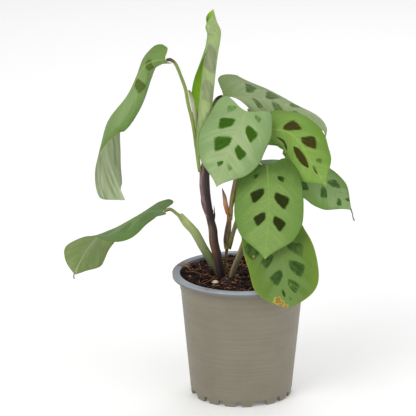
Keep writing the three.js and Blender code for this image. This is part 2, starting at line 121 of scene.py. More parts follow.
class Recipe:
    """One material. Its methods take outputs of nodes, numbers and colours as seen, and return an output."""

    def __init__(self, name):
        self.material = bpy.data.materials.new(name)
        self.material.use_nodes = True
        self.tree = self.material.node_tree

    def feed(self, socket, value):
        if isinstance(value, bpy.types.NodeSocket):
            self.tree.links.new(value, socket)
        elif value is not None:
            socket.default_value = paint(*value) if socket.type == "RGBA" else value

    def node(self, kind, inputs, out=0, **settings):
        """A node with its settings and with what goes into its sockets, and one of its outputs."""
        made = self.tree.nodes.new("ShaderNode" + kind)
        for key, value in settings.items():
            setattr(made, key, value)
        for key, value in inputs.items():
            self.feed(made.inputs[key], value)
        return made.outputs[out]

    def attribute(self, name):
        return self.node("Attribute", {}, "Fac", attribute_name=name)

    def parts(self, place):
        """Three numbers: the parts of a place, as the UV or the Object coordinates give it."""
        return list(self.node("SeparateXYZ", {0: self.node("TexCoord", {}, place)}).node.outputs)

    def maths(self, what, *values):
        return self.node("Math", dict(enumerate(values)), operation=what)

    def cloud(self, scale, detail=2.0, rough=0.5, stretch=(1, 1, 1), place=None):
        """Cloudy noise from 0 to 1 in the Object coordinates, or at a place of its own."""
        if place is None:
            place = self.node("TexCoord", {}, "Object")
        if stretch != (1, 1, 1):
            place = self.node("Mapping", {"Vector": place, "Scale": stretch})
        return self.node("TexNoise", dict(Vector=place, Scale=scale, Detail=detail, Roughness=rough), "Fac")

    def grain(self, x, along, y, across, detail):
        """Noise drawn out like the grain of wood: the more x or y is multiplied, the finer it is that way."""
        x, y = self.maths("MULTIPLY", x, along), self.maths("MULTIPLY", y, across)
        return self.cloud(1, detail, place=self.node("CombineXYZ", {0: x, 1: y}))

    def share(self, value, low, high, first=0.0, last=1.0):
        """Eased step: first where value is low or less, last where it is high or more."""
        numbers = dict(enumerate((value, low, high, first, last)))
        return self.node("MapRange", numbers, interpolation_type="SMOOTHSTEP")

    def blend(self, share, first, second):
        return self.node("Mix", {0: share, 6: first, 7: second}, 2, data_type="RGBA")

    def layers(self, colour, *layers):
        """Colours laid over a first one. A layer is a value, the low and high end of an eased step, how
        strong the layer is below and above them, and its colour."""
        for value, low, high, first, last, over in layers:
            colour = self.blend(self.share(value, low, high, first, last), colour, over)
        return colour

    def steps(self, value, stops):
        """A colour for each place along a line: stops are (place, colour) from 0 to 1."""
        colour = self.node("ValToRGB", {0: value})
        ramp = colour.node.color_ramp
        while len(ramp.elements) < len(stops):
            ramp.elements.new(0.5)
        for element, (where, seen) in zip(ramp.elements, stops):
            element.position, element.color = where, paint(*seen)
        return colour

    def relief(self, height, depth):
        """Bump: height from 0 to 1 stands depth metres proud."""
        return self.node("Bump", dict(Strength=1.0, Distance=depth, Height=height))

    def done(self, colour, rough, relief=None, **more):
        """The finished material. More sockets of the shader go in by name, with _ for a space."""
        shader = self.tree.nodes["Principled BSDF"]
        for name, value in dict(Base_Color=colour, Roughness=rough, Normal=relief, **more).items():
            self.feed(shader.inputs[name.replace("_", " ")], value)
        return self.material


print("mid grey in a shader:", round(paint(128, 128, 128)[0], 3))

# %% [markdown]
# Every surface here is a grid of points: rows one way, columns the other. Four neighbours make one face,
# and the last column joins the first, as in a tube. Arrays are much faster than adding faces one by one.

# %% From grids of points to a mesh


def grid_corners(rows, columns):
    """Row and column of each face's corners: (i, j), (i, j + 1), (i + 1, j + 1), (i + 1, j)."""
    i, j = np.indices((rows - 1, columns)).reshape(2, -1, 1)
    return i + [0, 0, 1, 1], j + [0, 1, 1, 0]


def volume(points, faces):
    """Enclosed volume, as the sum of the pyramids from the origin to each face. Negative if inside out."""
    a, b, c, d = (points[faces[:, k]] for k in range(4))
    return (a * (np.cross(b, c) + np.cross(c, d))).sum() / 6


class Grids:
    """Grids of points in mm that together make one closed piece."""

    def __init__(self):
        self.points, self.faces, self.uvs, self.which, self.values = [], [], [], [], []
        self.count = 0

    def add(self, grid, uv=None, which=0, **values):
        """One grid. uv is a place in the unit square per point, which a material per face or for all, and
        values are more numbers per point."""
        rows, columns = grid.shape[:2]
        row, column = grid_corners(rows, columns)
        faces = row * columns + column % columns
        plain_uv = np.stack([row / (rows - 1), column / columns], -1)
        self.uvs.append(plain_uv if uv is None else uv.reshape(-1, 2)[faces])
        self.which.append(np.broadcast_to(which, (rows - 1, columns)).ravel())
        self.values.append({key: numbers.ravel() for key, numbers in values.items()})
        self.points.append(grid.reshape(-1, 3))
        self.faces.append(faces + self.count)
        self.count += rows * columns

    def piece(self, name, materials, sharp=None):
        """The grids as one object: points that meet are merged, and faces are turned to look outwards.

        Merging leaves some faces with two equal corners, which become triangles, and some with no area,
        which are dropped. Edges bent by more than sharp degrees stay crisp."""
        points, faces, uvs, which = map(np.concatenate, (self.points, self.faces, self.uvs, self.which))
        _, first, same = np.unique(np.round(points, 3), axis=0, return_index=True, return_inverse=True)
        points, faces = points[first], same.ravel()[faces]
        equal = faces == np.roll(faces, -1, axis=1)
        kept = (equal.sum(1) < 2) & (faces[:, 0] != faces[:, 2]) & (faces[:, 1] != faces[:, 3])
        faces, uvs, which, equal = faces[kept], uvs[kept], which[kept], equal[kept]
        turn = np.where(equal.any(1), equal.argmax(1) + 1, 0)
        order = (np.arange(4)[None, :] + turn[:, None]) % 4
        faces, uvs = np.take_along_axis(faces, order, 1), np.take_along_axis(uvs, order[..., None], 1)
        if volume(points, faces) < 0:
            faces, uvs = faces[:, ::-1], uvs[:, ::-1]
        corner = np.ones(faces.shape, bool)
        corner[:, 3] = faces[:, 3] != faces[:, 0]
        corners = [face if four else face[:3] for face, four in zip(faces.tolist(), corner[:, 3])]
        mesh = bpy.data.meshes.new(name)
        mesh.from_pydata((points * MM).tolist(), [], corners)
        mesh.uv_layers.new(name="UVMap").data.foreach_set("uv", uvs[corner].astype(np.float32).ravel())
        for key in self.values[0]:
            numbers = np.concatenate([values[key] for values in self.values])[first]
            mesh.attributes.new(key, "FLOAT", "POINT").data.foreach_set("value", numbers.astype(np.float32))
        for material in materials:
            mesh.materials.append(material)
        mesh.polygons.foreach_set("material_index", which.astype(np.int32))
        mesh.polygons.foreach_set("use_smooth", np.ones(len(faces), bool))
        if sharp is not None:
            mesh.set_sharp_from_angle(angle=math.radians(sharp))
        mesh.update()
        return put(name, mesh)


def belongs(piece, slot, *nodes):
    """The piece moves with the part and stands for these nodes, which are hidden. The slot is not used."""
    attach(piece, "root")
    if nodes:
        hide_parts(*nodes)
    print(piece.name, len(piece.data.polygons), "faces")


# %% [markdown]
# The pot stands on a plain pale floor, so wide that no edge is in view. It gives off a little light of its
# own, so that it stays near white under the leaves as well.

# %% The floor
FLOOR_REACH, FLOOR_GLOW = 4000 * MM, 0.12
floor_paint = Recipe("pale floor")
floor_white = floor_paint.blend(floor_paint.cloud(60, 3), (253, 253, 253), (255, 255, 255))
floor_paint.done(floor_white, 0.7, Emission_Color=(255, 255, 255), Emission_Strength=FLOOR_GLOW)
floor_mesh = bpy.data.meshes.new("floor")
floor_corners = [(x * FLOOR_REACH, y * FLOOR_REACH, 0) for x, y in ((-1, -1), (1, -1), (1, 1), (-1, 1))]
floor_mesh.from_pydata(floor_corners, [], [(0, 1, 2, 3)])
floor_mesh.materials.append(floor_paint.material)
floor = put("floor", floor_mesh)
print("floor laid,", 2 * FLOOR_REACH, "m wide")

# %% [markdown]
# The pot is thin plastic formed over a mould: one wall turned about the axis, a flat rim that drops to a
# lip, and small feet pressed in round the base. Lathe work suits the Screw modifier, but the feet break
# its symmetry. Here the wall's section is a list of points, and its lower edge depends on the angle.

# %% The pot's section
POT_HEIGHT, RIM_RADIUS, RIM_INNER = 109.0, 60.0, 53.4
LIP_DROP, LIP_ROUND, WALL, FOOT_HEIGHT = 3.5, 0.9, 0.95, 5.0
GROOVES, GROOVE = (58.4, 56.0), 0.2
BASE_RADIUS, TAPER = 43.6, 0.0965
RING_HEIGHT, RING_STEP = 94.0, 0.4
WALL_LEVELS = (12, 26, 40, 54, 68, 82, 93.8, 94.4, 95.2, 98, 101)
PAD_RADIUS, PAD_SLOPE = 10.0, 6.0
FLOOR_EDGE = 39.0
FIRST_FOOT, FOOT_ANGLE, NOTCH_ANGLE, SLOPE_ANGLE = 28.4, 15.0, 5.0, 2.0


def wall_radius(height):
    """Outer wall radius: it widens evenly with height, with a small outward step at the ring."""
    return BASE_RADIUS + TAPER * height + RING_STEP * np.clip(height - RING_HEIGHT, 0, 1)


def foot_edge(degrees):
    """Height of the wall's lower edge: 0 under a foot, 4.6 mm between feet, sloping at a foot's sides.

    Each quarter turn has four feet with narrow notches, then one wide gap."""
    turn = np.mod(degrees - FIRST_FOOT, 90)
    pitch = FOOT_ANGLE + NOTCH_ANGLE
    inside = np.minimum(np.mod(turn, pitch), FOOT_ANGLE - np.mod(turn, pitch))
    inside = np.where(turn >= 4 * pitch - NOTCH_ANGLE, -1, inside)
    return (FOOT_HEIGHT - 0.4) * (1 - np.clip(inside / SLOPE_ANGLE, 0, 1))


def arc(centre, radius, start, end, steps):
    """Points on a circle in the section, from one angle to another. Angle 0 is outwards, 90 is up."""
    angle = np.radians(np.linspace(start, end, steps))
    return [(centre[0] + radius * math.cos(a), centre[1] + radius * math.sin(a)) for a in angle]


def wall_section(edge):
    """Section of wall and rim: from the floor's underside, down a foot, up the outside and back inside."""
    top = POT_HEIGHT - LIP_DROP - 0.5
    foot = wall_radius(0) - 1.6 - WALL
    outside = [(wall_radius(z), z) for z in (*WALL_LEVELS, top)]
    lip = [(RIM_INNER + 1.2, POT_HEIGHT - 1.25), (RIM_RADIUS - 1.3, POT_HEIGHT - 1.2)]
    lip += [(RIM_RADIUS - 1.0, POT_HEIGHT - LIP_DROP), (RIM_RADIUS - 0.2, POT_HEIGHT - LIP_DROP)]
    lip += arc((RIM_RADIUS - LIP_ROUND, POT_HEIGHT - LIP_ROUND), LIP_ROUND, 0, 90, 5)
    grooves = [(r + d, POT_HEIGHT - (0 if d else GROOVE)) for r in GROOVES for d in (GROOVE, 0, -GROOVE)]
    bead = arc((RIM_INNER + LIP_ROUND, POT_HEIGHT - LIP_ROUND), LIP_ROUND, 90, 180, 5)
    inside = [(wall_radius(z) - WALL, z) for z in (top, 101, 95, 94, 60, 30, 8)]
    bend = [(foot - 0.4, FOOT_HEIGHT + WALL + 0.3), (FLOOR_EDGE, FOOT_HEIGHT + WALL)]
    start = [(FLOOR_EDGE, FOOT_HEIGHT), (foot - 0.6, FOOT_HEIGHT), (foot, max(edge, 0.4)), (foot + 0.4, edge)]
    start += [(wall_radius(0) - 0.5, edge), (wall_radius(edge), edge + 0.5), (wall_radius(5), 5.3)]
    start += [(wall_radius(6) + 0.15, 5.8), (wall_radius(7), 6.6)]
    return np.array(start + outside + lip + grooves + bead + inside + bend)


print("points in the section:", len(wall_section(0.0)))

# %% [markdown]
# Water leaves the pot through six round holes in its floor. Cutting them with a Boolean would leave long
# thin faces. Each sixth of the floor is instead a grid whose lines run from its hole to its outline.

# %% Turn the section and lay the floor with its holes
TURN = 360
HOLES, HOLE_RADIUS, HOLE_CIRCLE = 6, 3.5, 28.0


def around(radius, height, degrees):
    """A point of the section turned to an angle measured to the right of the front."""
    angle = np.radians(degrees)
    return np.stack(np.broadcast_arrays(radius * np.sin(angle), -radius * np.cos(angle), height), -1)


def turned(sections):
    """Rings of points: the i-th point of every section, each at its own angle."""
    degrees = FIRST_FOOT + np.arange(TURN)
    return around(sections[:, :, 0].T, sections[:, :, 1].T, degrees[None, :])


def floor_sixth(number, height, rings=5):
    """Grid from a drain hole out to its sixth of the floor: (1 - w) hole + w outline, w from 0 to 1."""
    span, inner, side = TURN // HOLES, PAD_RADIUS + PAD_SLOPE, 10
    start = FIRST_FOOT + span * number
    sweep = start + np.arange(span + 1)
    reach = np.linspace(inner, FLOOR_EDGE, side + 1)[1:-1]
    outline = np.concatenate([
        around(FLOOR_EDGE, height, sweep), around(reach[::-1], height, start + span),
        around(inner, height, sweep[::-1]), around(reach, height, start),
    ])
    centre = around(HOLE_CIRCLE, height, start + span / 2)
    away = outline - centre
    hole = centre + HOLE_RADIUS * away / np.linalg.norm(away, axis=-1, keepdims=True)
    w = np.linspace(0, 1, rings)[:, None, None] ** 1.3
    return hole + w * (outline - hole)


shell = np.stack([wall_section(edge) for edge in foot_edge(FIRST_FOOT + np.arange(TURN))])
under = np.array([(0, 0), (PAD_RADIUS, 0), (PAD_RADIUS + PAD_SLOPE, FOOT_HEIGHT)])
over = np.array([(PAD_RADIUS + PAD_SLOPE, FOOT_HEIGHT + WALL), (PAD_RADIUS, WALL), (0, WALL)])
floor_grids = [np.concatenate([floor_sixth(k, FOOT_HEIGHT)[::-1], floor_sixth(k, FOOT_HEIGHT + WALL)])
               for k in range(HOLES)]
print("points in the turned wall:", shell.shape[0] * shell.shape[1])

# %% [markdown]
# The pot is two layers of plastic: taupe outside, light blue-grey inside and over the rim. Moulded
# plastic is smooth but not perfect, so fine level lines and soft cloudiness keep it from looking painted.

# %% Pot plastic
TAUPE, TAUPE_DARK = (134, 127, 111), (122, 115, 98)
# The lip's grey is darker than the rim's: painted shade on the lip's upright side.
RIM_GREY, RIM_DARK, LIP_SHADE_GREY = (164, 170, 178), (122, 127, 136), (112, 114, 114)


def pot_plastic(name, light, dark, line_depth, lip=None):
    """Plastic with cloudy patches, fine level lines round the wall and a slightly uneven gloss. The upright
    side of the rim's lip, below its top edge, may be painted a darker grey as shade."""
    made = Recipe(name)
    lines = made.cloud(1.0, 3, 0.6, stretch=(6, 6, 900))
    colour = made.layers(light, (made.cloud(45, 3), 0.35, 0.75, 0, 0.5, dark),
                         (lines, 0.45, 0.7, 0, 0.6, dark))
    # The upright side of the lip is painted a darker grey as shade.
    if lip is not None:
        across, deep, height = made.parts("Object")
        squares = made.maths("MULTIPLY_ADD", across, across, made.maths("MULTIPLY", deep, deep))
        below = made.share(height, (POT_HEIGHT - 2.2) * MM, (POT_HEIGHT - 1) * MM, 1, 0)
        beyond = made.share(made.maths("SQRT", squares), (RIM_RADIUS - 1.3) * MM, (RIM_RADIUS - 1.1) * MM)
        colour = made.blend(made.maths("MULTIPLY", below, beyond), colour, lip)
    rough = made.share(made.cloud(420, 2), 0.2, 0.8, 0.42, 0.56)
    return made.done(colour, rough, made.relief(lines, line_depth), Specular_IOR_Level=0.4)


taupe_plastic = pot_plastic("taupe plastic", TAUPE, TAUPE_DARK, 0.00012)
grey_plastic = pot_plastic("blue-grey plastic", RIM_GREY, RIM_DARK, 0.00004, lip=LIP_SHADE_GREY)
print("materials of the pot:", taupe_plastic.name, "and", grey_plastic.name)

# %% [markdown]
# Both layers are one mesh with two materials. Which face gets which is worked out from where the face is,
# so no face has to be picked by hand.

# %% Make the pot
CRISP = 32


def grey_side(grid):
    """Which faces of a grid are blue-grey: those inside the wall and on the rim and its lip."""
    middle = (grid[1:] + grid[:-1]) / 2
    radius, height = np.hypot(middle[..., 0], middle[..., 1]), middle[..., 2]
    inside = (radius < wall_radius(height) - 0.6) & (height > FOOT_HEIGHT + 0.5)
    on_rim = (height > POT_HEIGHT - 1.1) | (radius > RIM_RADIUS - 1.2) & (height > RING_HEIGHT)
    return (inside | on_rim).astype(int)


pot_grids = Grids()
pads = [turned(np.repeat(part[None], TURN, 0)) for part in (under, over)]
for grid in [turned(shell)] + pads + floor_grids:
    pot_grids.add(grid, which=grey_side(grid))
belongs(pot_grids.piece("nursery_pot", [taupe_plastic, grey_plastic], CRISP), "pot", "pot")

# %% [markdown]
# Potting soil is dark peat with short brown fibres. A flat disc with a picture of soil looks painted from
# low down, so the surface itself is uneven: slow lumps that the part has too, and finer crumbs on top.

# %% Soil surface
SOIL_LEVEL, SOIL_EDGE, TOP_GAP, SIDE_GAP = 106.8, 104.8, 0.35, 0.4
LATTICE = 64
chance = np.random.default_rng(11)


def eased(share):
    """From 0 to 1 with a slow start and a slow end: 3 x^2 - 2 x^3."""
    return share * share * (3 - 2 * share)


def smooth_noise(x, y, size, seed):
    """Value noise: random heights on a square lattice of the given size, eased between its corners."""
    table = np.random.default_rng(seed).uniform(-1, 1, (LATTICE, LATTICE))
    u, v = np.asarray(x) / size + 31.7, np.asarray(y) / size + 31.3
    i, j = np.floor(u).astype(int), np.floor(v).astype(int)
    a, b = eased(u - i), eased(v - j)
    i, j = i % (LATTICE - 1), j % (LATTICE - 1)
    low = table[i, j] * (1 - a) + table[i + 1, j] * a
    high = table[i, j + 1] * (1 - a) + table[i + 1, j + 1] * a
    return low * (1 - b) + high * b


def soil_height(x, y):
    """Slow lumps, a low mound round the canes, and crumbs of two sizes."""
    lumps = 0.9 * np.sin(0.21 * x + 0.6) * np.cos(0.17 * y - 0.4) + 0.6 * np.sin(0.43 * x - 0.29 * y + 1.1)
    mound = 0.8 * np.exp(-((x + 14) ** 2 + (y + 10) ** 2) / 144)
    crumbs = 1.3 * smooth_noise(x, y, 3.4, 3) + 0.9 * smooth_noise(x, y, 1.5, 4)
    return SOIL_LEVEL - 0.2 + lumps + mound + crumbs


def soil_surface(rings=110, around_count=300):
    """Closed body: down the middle of the floor, out, up inside the wall, and the uneven top."""
    angle = np.linspace(0, 360, around_count, endpoint=False)
    top_radius = wall_radius(SOIL_EDGE) - WALL - TOP_GAP
    walls = [(wall_radius(z) - WALL - SIDE_GAP, height) for z, height in ((9, 9.5), (55, 55))]
    sides = [around(radius, height, angle) for radius, height in [(0, 6.4), (38, 6.4)] + walls]
    for radius in top_radius * np.linspace(1, 0, rings) ** 0.8:
        flat = around(radius, 0, angle)
        flat[:, 2] = soil_height(flat[:, 0], flat[:, 1])
        sides.append(flat)
    return np.stack(sides)


soil_grids = Grids()
soil_grids.add(soil_surface())
print("soil in front of the canes:", round(float(soil_height(0, -30)), 1), "mm high")

# %% [markdown]
# Peat is dark and reddish brown on its crumbs, and never shiny. Between the crumbs it is painted nearly
# black as shade: the colour and the relief come from the same noise, so the bright places are also the high
# ones.

# %% Peat
PEAT_TONES_AND_SHADE = [(0.38, (7, 5, 5)), (0.5, (22, 14, 12)), (0.6, (58, 34, 26)), (0.75, (124, 78, 54))]
peat = Recipe("peat")
peat_fine = peat.cloud(900, 4, 0.65)
# The lowest places of the fine noise are near black: painted shade between the crumbs.
peat_colour = peat.layers(peat.steps(peat_fine, PEAT_TONES_AND_SHADE),
                          (peat.cloud(230, 3), 0.45, 0.75, 0, 0.6, (30, 18, 15)))
peat.done(peat_colour, 0.95, peat.relief(peat_fine, 0.0012), Specular_IOR_Level=0.2)
belongs(soil_grids.piece("soil_body", [peat.material]), "soil", "soil")

# %% [markdown]
# A cane or stalk is a round profile carried along a smooth curve. A Bezier curve object with a bevel does
# this too, but its thickness at each place is harder to say than one radius per point.

# %% Canes and stalks: their courses
STEMS = {
    "cane": dict(
        path=[(-17, -7, 94), (-18, -8, 107), (-19, -9, 115), (-21, -10, 126), (-24, -11, 139),
              (-25, -12, 151), (-27, -13, 160), (-29, -14, 170), (-31, -15, 181), (-32, -16, 192),
              (-32, -17, 203), (-32, -18, 212)],
        radii=[3, 3, 3.3, 3.8, 4, 3.8, 3.3, 3.8, 4.3, 4.5, 4.1, 2.6]),
    "side_stem": dict(
        path=[(-15, 0, 94), (-15, -1, 106), (-14, -2, 118), (-13, -3, 129), (-13, -3, 132), (-13, -4, 139),
              (-12, -5, 148), (-11, -6, 157), (-11, -6, 164)],
        radii=[1.3, 1.2, 1.2, 1.4, 2.3, 2.9, 2.8, 2.1, 1.9]),
    "stalk_tall": dict(
        path=[(-36, -20, 205), (-37, -20, 211), (-39, -21, 227), (-42, -22, 248), (-46, -23, 266),
              (-48, -24, 278), (-52, -25, 290), (-56, -26, 300), (-60, -26, 304), (-64, -26, 304)],
        radii=[1.6, 1.6, 1.6, 1.5, 1.5, 1.5, 1.4, 1.4, 1.3, 1.2]),
    "stalk_low": dict(
        path=[(-19, 2, 92), (-20, -1, 108), (-26, -5, 120), (-33, -14, 135), (-41, -21, 151),
              (-48, -25, 160), (-53, -27, 167), (-56, -28, 170), (-61, -29, 174), (-66, -30, 173)],
        radii=[2.6, 3.2, 3.6, 3.6, 3.2, 2.8, 1.8, 1.4, 1.3, 1.2], flat=0.65),
    "stalk_rolled": dict(path=[(-32, -18, 212), (-32, -18, 216), (-32, -18, 220)], radii=[2.4, 2.1, 1.7]),
    "stalk_back": dict(
        path=[(-30, -14, 205), (-30, -13, 212), (-29, -12, 226), (-27, -9, 247), (-24, -8, 261),
              (-21, -8, 266), (-17, -8, 268)],
        radii=[1.5, 1.5, 1.5, 1.4, 1.4, 1.4, 1.2]),
    "stalk_pale": dict(
        path=[(-10, -8, 164), (-9, -9, 178), (-6, -13, 196), (-2, -20, 222), (4, -27, 248), (6, -31, 259),
              (5, -33, 263)],
        radii=[1.5, 1.4, 1.4, 1.3, 1.3, 1.2, 1.2]),
    "stalk_bright": dict(
        path=[(-10, -4, 164), (-7, -3, 176), (-3, -4, 194), (7, -8, 220), (13, -16, 238), (17, -19, 242)],
        radii=[1.5, 1.4, 1.4, 1.3, 1.3, 1.2]),
    "stalk_middle": dict(
        path=[(-11, -6, 132), (-10, -7, 138), (-8, -8, 145), (-5, -12, 157), (1, -18, 179), (11, -26, 201),
              (17, -32, 213), (20, -34, 214)],
        radii=[0.8, 1.7, 1.9, 1.7, 1.5, 1.4, 1.3, 1.2]),
    "stalk_side": dict(
        path=[(-10, -2, 130), (-9, -2, 136), (-7, -1, 145), (-3, 0, 156), (3, -2, 179), (13, -6, 200),
              (18, -8, 206)],
        radii=[0.8, 1.4, 1.6, 1.5, 1.4, 1.3, 1.2]),
    "stalk_hanging": dict(
        path=[(-11, -10, 95), (-9, -12, 107), (-6, -14, 118), (-2, -17, 129), (2, -21, 143), (8, -27, 159),
              (16, -32, 168), (21, -34, 170)],
        radii=[2.2, 2.4, 2.6, 2.8, 2.4, 1.6, 1.3, 1.2], flat=0.7),
    "bract": dict(
        path=[(-12, -9, 164), (-14, -9, 172), (-15, -9, 179), (-17, -10, 187)], radii=[2, 2.1, 1.7, 0.3],
        flat=0.45),
}


def curve_at(points, u):
    """A smooth curve through the points, at u from 0 to 1. Each stretch between two points is the cubic
    whose slope at a point runs from the point before it to the point after it (Catmull-Rom)."""
    p = np.asarray(points, float)
    p = np.vstack([2 * p[0] - p[1], p, 2 * p[-1] - p[-2]])
    place = np.clip(u, 0, 1) * (len(p) - 3)
    i = np.minimum(place.astype(int), len(p) - 4)
    f = (place - i)[..., None]
    a, b, c, d = p[i], p[i + 1], p[i + 2], p[i + 3]
    return (2 * b + (c - a) * f + (2 * a - 5 * b + 4 * c - d) * f ** 2 + (3 * (b - c) + d - a) * f ** 3) / 2


def unit(vectors):
    """Vectors scaled to length 1."""
    return vectors / np.maximum(np.linalg.norm(vectors, axis=-1, keepdims=True), 1e-12)


print("stems:", len(STEMS))

# %% [markdown]
# The canes and stalks are round, or a little flat where a sheath wraps the stalk. The profile stands square
# to the course at every point, and two smaller rings round off each end.

# %% Carry a round profile along a course
CAP = ((0.8, 0.25), (0.0, 0.4))


def stem_grid(path, radii, flat=1.0, ribs=0, rib_height=0.0, joints=(), cup=0.0, sides=28,
              steps_per_point=12):
    """centre + radius (side cos a + depth (flat sin a - cup cos^2 a)), with ribs as a wave in a.

    A joint is a low ring: (place along, height, half length), in shares of the stem and mm. A cup bends both
    edges of a flat stem back, as in a scale. Both ends are rounded."""
    u = np.linspace(0, 1, steps_per_point * (len(path) - 1) + 1)
    centre = curve_at(path, u)
    along = unit(np.gradient(centre, axis=0))
    side = unit(np.cross(along, (0, 1, 0)))
    depth = np.cross(along, side)
    radius = np.interp(u, np.linspace(0, 1, len(radii)), radii)
    for place, height, half in joints:
        radius = radius + height * np.exp(-((u - place) / half) ** 2)
    a = np.linspace(0, 2 * np.pi, sides, endpoint=False)
    wave = 1 + rib_height * np.cos(ribs * a) / max(radii)
    round_part = side[:, None] * np.cos(a)[:, None]
    round_part = round_part + depth[:, None] * (flat * np.sin(a) - cup * np.cos(a) ** 2)[:, None]
    grid = centre[:, None] + (radius[:, None] * wave)[..., None] * round_part
    first, last = ([centre[end] + share * (grid[end] - centre[end]) + way * out * radius[end] * along[end]
                    for share, out in CAP] for end, way in ((0, -1), (-1, 1)))
    return np.concatenate([first[::-1], grid, last])


print("points along the cane:", len(stem_grid(**STEMS["cane"])))

# %% [markdown]
# Each stem changes colour along its length: dark purple at the soil, green or tan above, and a brown
# swollen joint under the blade. The colour stops go along the stem's own UV, and streaks run with it.

# %% Skins of the stems
RIBS, STEM_GLOSS = 22, 0.45


def stem_skin(name, stops, streak, shade=None, light=None, stripes=0.75):
    """Colour along the stem from stops, then shade and light, each a second colour on one side, from a place
    along the stem upwards. On the cane the shade is painted shade on its right and the light a painted
    highlight; on other stalks the shade is a side tint. Streaks run along it, as strong as stripes says."""
    made = Recipe(name)
    along, about, _ = made.parts("UV")
    grain, spots = made.grain(along, 9, about, 34, 4), made.cloud(380, 3)
    uneven = made.maths("MULTIPLY_ADD", grain, 0.12, about)
    colour = made.steps(along, stops)
    for second, least, most in ((shade, -0.2, 0.7), (light, 0.55, 1.0)):
        if second:
            seen, turn, start = second
            wave = made.maths("SINE", made.maths("MULTIPLY", made.maths("ADD", uneven, turn), 2 * math.pi))
            upwards = made.share(along, start - 0.02, start + 0.02)
            strength = made.maths("MULTIPLY", made.share(wave, least, most, 0, 0.85), upwards)
            colour = made.blend(strength, colour, seen)
    colour = made.layers(colour, (grain, 0.46, 0.62, 0, stripes, streak),
                         (spots, 0.55, 0.8, 0, 0.5 * stripes, streak))
    ridge = made.maths("SINE", made.maths("MULTIPLY", about, 2 * math.pi * RIBS))
    rough = made.share(spots, 0.3, 0.7, STEM_GLOSS, STEM_GLOSS + 0.15)
    return made.done(colour, rough, made.relief(made.maths("ADD", ridge, grain), 0.00008))


YELLOW_GREEN = (166, 180, 96)
RIGHT, LEFT, MIDDLE_LEFT = 0.75, 0.25, 0.1
SKINS = {
    # On the cane the near-black right side is painted shade, and the pinkish stripe left of the middle, above
    # the joint, is a painted highlight.
    "cane": dict(stops=[(0, (58, 40, 50)), (0.24, (84, 60, 66)), (0.32, (128, 80, 50)), (0.4, (136, 102, 66)),
                        (0.46, (124, 104, 78)), (0.53, (96, 74, 56)), (0.56, (46, 28, 28)),
                        (0.64, (72, 46, 50)), (1, (88, 60, 62))],
                 streak=(44, 24, 24), shade=((24, 15, 14), RIGHT, 0),
                 light=((146, 114, 116), MIDDLE_LEFT, 0.57)),
    "side_stem": dict(stops=[(0, (120, 112, 84)), (0.36, (116, 104, 74)), (0.43, (112, 80, 44)),
                             (0.48, (186, 174, 74)), (0.55, (150, 124, 60)), (0.6, (70, 38, 38)),
                             (0.8, (96, 52, 42)), (0.88, (168, 100, 54)), (1, (180, 120, 66))],
                      streak=(44, 26, 28), shade=((138, 134, 68), RIGHT, 0)),
    "stalk_tall": dict(stops=[(0, (112, 104, 60)), (0.12, YELLOW_GREEN), (0.78, (144, 164, 84)),
                              (0.85, (100, 62, 34)), (0.96, (66, 32, 24)), (1, (120, 110, 66))],
                       streak=(112, 132, 60)),
    "stalk_low": dict(stops=[(0, (84, 72, 80)), (0.14, (104, 98, 92)), (0.28, (140, 148, 112)),
                             (0.45, (164, 178, 118)), (0.66, (166, 180, 110)), (0.76, (158, 166, 86)),
                             (0.82, (140, 128, 60)), (0.88, (96, 60, 32)), (1, (84, 52, 30))],
                      streak=(126, 146, 84), stripes=0.5, shade=((146, 166, 96), RIGHT, 0)),
    "stalk_rolled": dict(stops=[(0, (96, 84, 66)), (1, (128, 140, 84))], streak=(70, 60, 44)),
    "stalk_back": dict(stops=[(0, (120, 116, 70)), (0.7, (140, 150, 80)), (0.82, (52, 30, 20)),
                              (1, (44, 26, 18))], streak=(96, 96, 56)),
    "stalk_pale": dict(stops=[(0, (176, 172, 92)), (0.3, (176, 164, 96)), (0.55, (152, 146, 92)),
                              (0.8, (140, 140, 84)), (1, (140, 150, 90))],
                       streak=(120, 88, 64), shade=((150, 104, 84), LEFT, 0)),
    "stalk_bright": dict(stops=[(0, (142, 112, 72)), (0.3, (150, 124, 78)), (0.6, (140, 130, 80)),
                                (1, (134, 142, 74))], streak=(104, 74, 52)),
    "stalk_middle": dict(stops=[(0, (120, 118, 66)), (0.2, (134, 130, 76)), (0.45, (156, 138, 108)),
                                (0.7, (128, 118, 72)), (1, (120, 134, 62))], streak=(92, 80, 50)),
    "stalk_side": dict(stops=[(0, (112, 112, 70)), (0.3, (146, 124, 92)), (0.6, (126, 122, 74)),
                              (1, (122, 134, 66))], streak=(84, 70, 44)),
    "stalk_hanging": dict(stops=[(0, (84, 76, 64)), (0.15, (88, 94, 70)), (0.4, (98, 108, 74)),
                                 (0.7, (112, 118, 70)), (1, (106, 122, 62))],
                          streak=(140, 108, 80), stripes=0.4, shade=((190, 158, 126), LEFT, 0)),
    "bract": dict(stops=[(0, (178, 104, 48)), (0.2, (206, 130, 68)), (0.45, (224, 178, 140)),
                         (0.7, (190, 146, 122)), (1, (70, 46, 44))], streak=(140, 92, 66), stripes=0.4),
}
print("skins:", len(SKINS))

# %% [markdown]
# The cane has raised rings where leaves once grew, and a stalk swells into a joint below its blade. Old
# leaf bases stay on as dry scales. A scale is a flat, cupped stem with a point, so it needs no new shape.

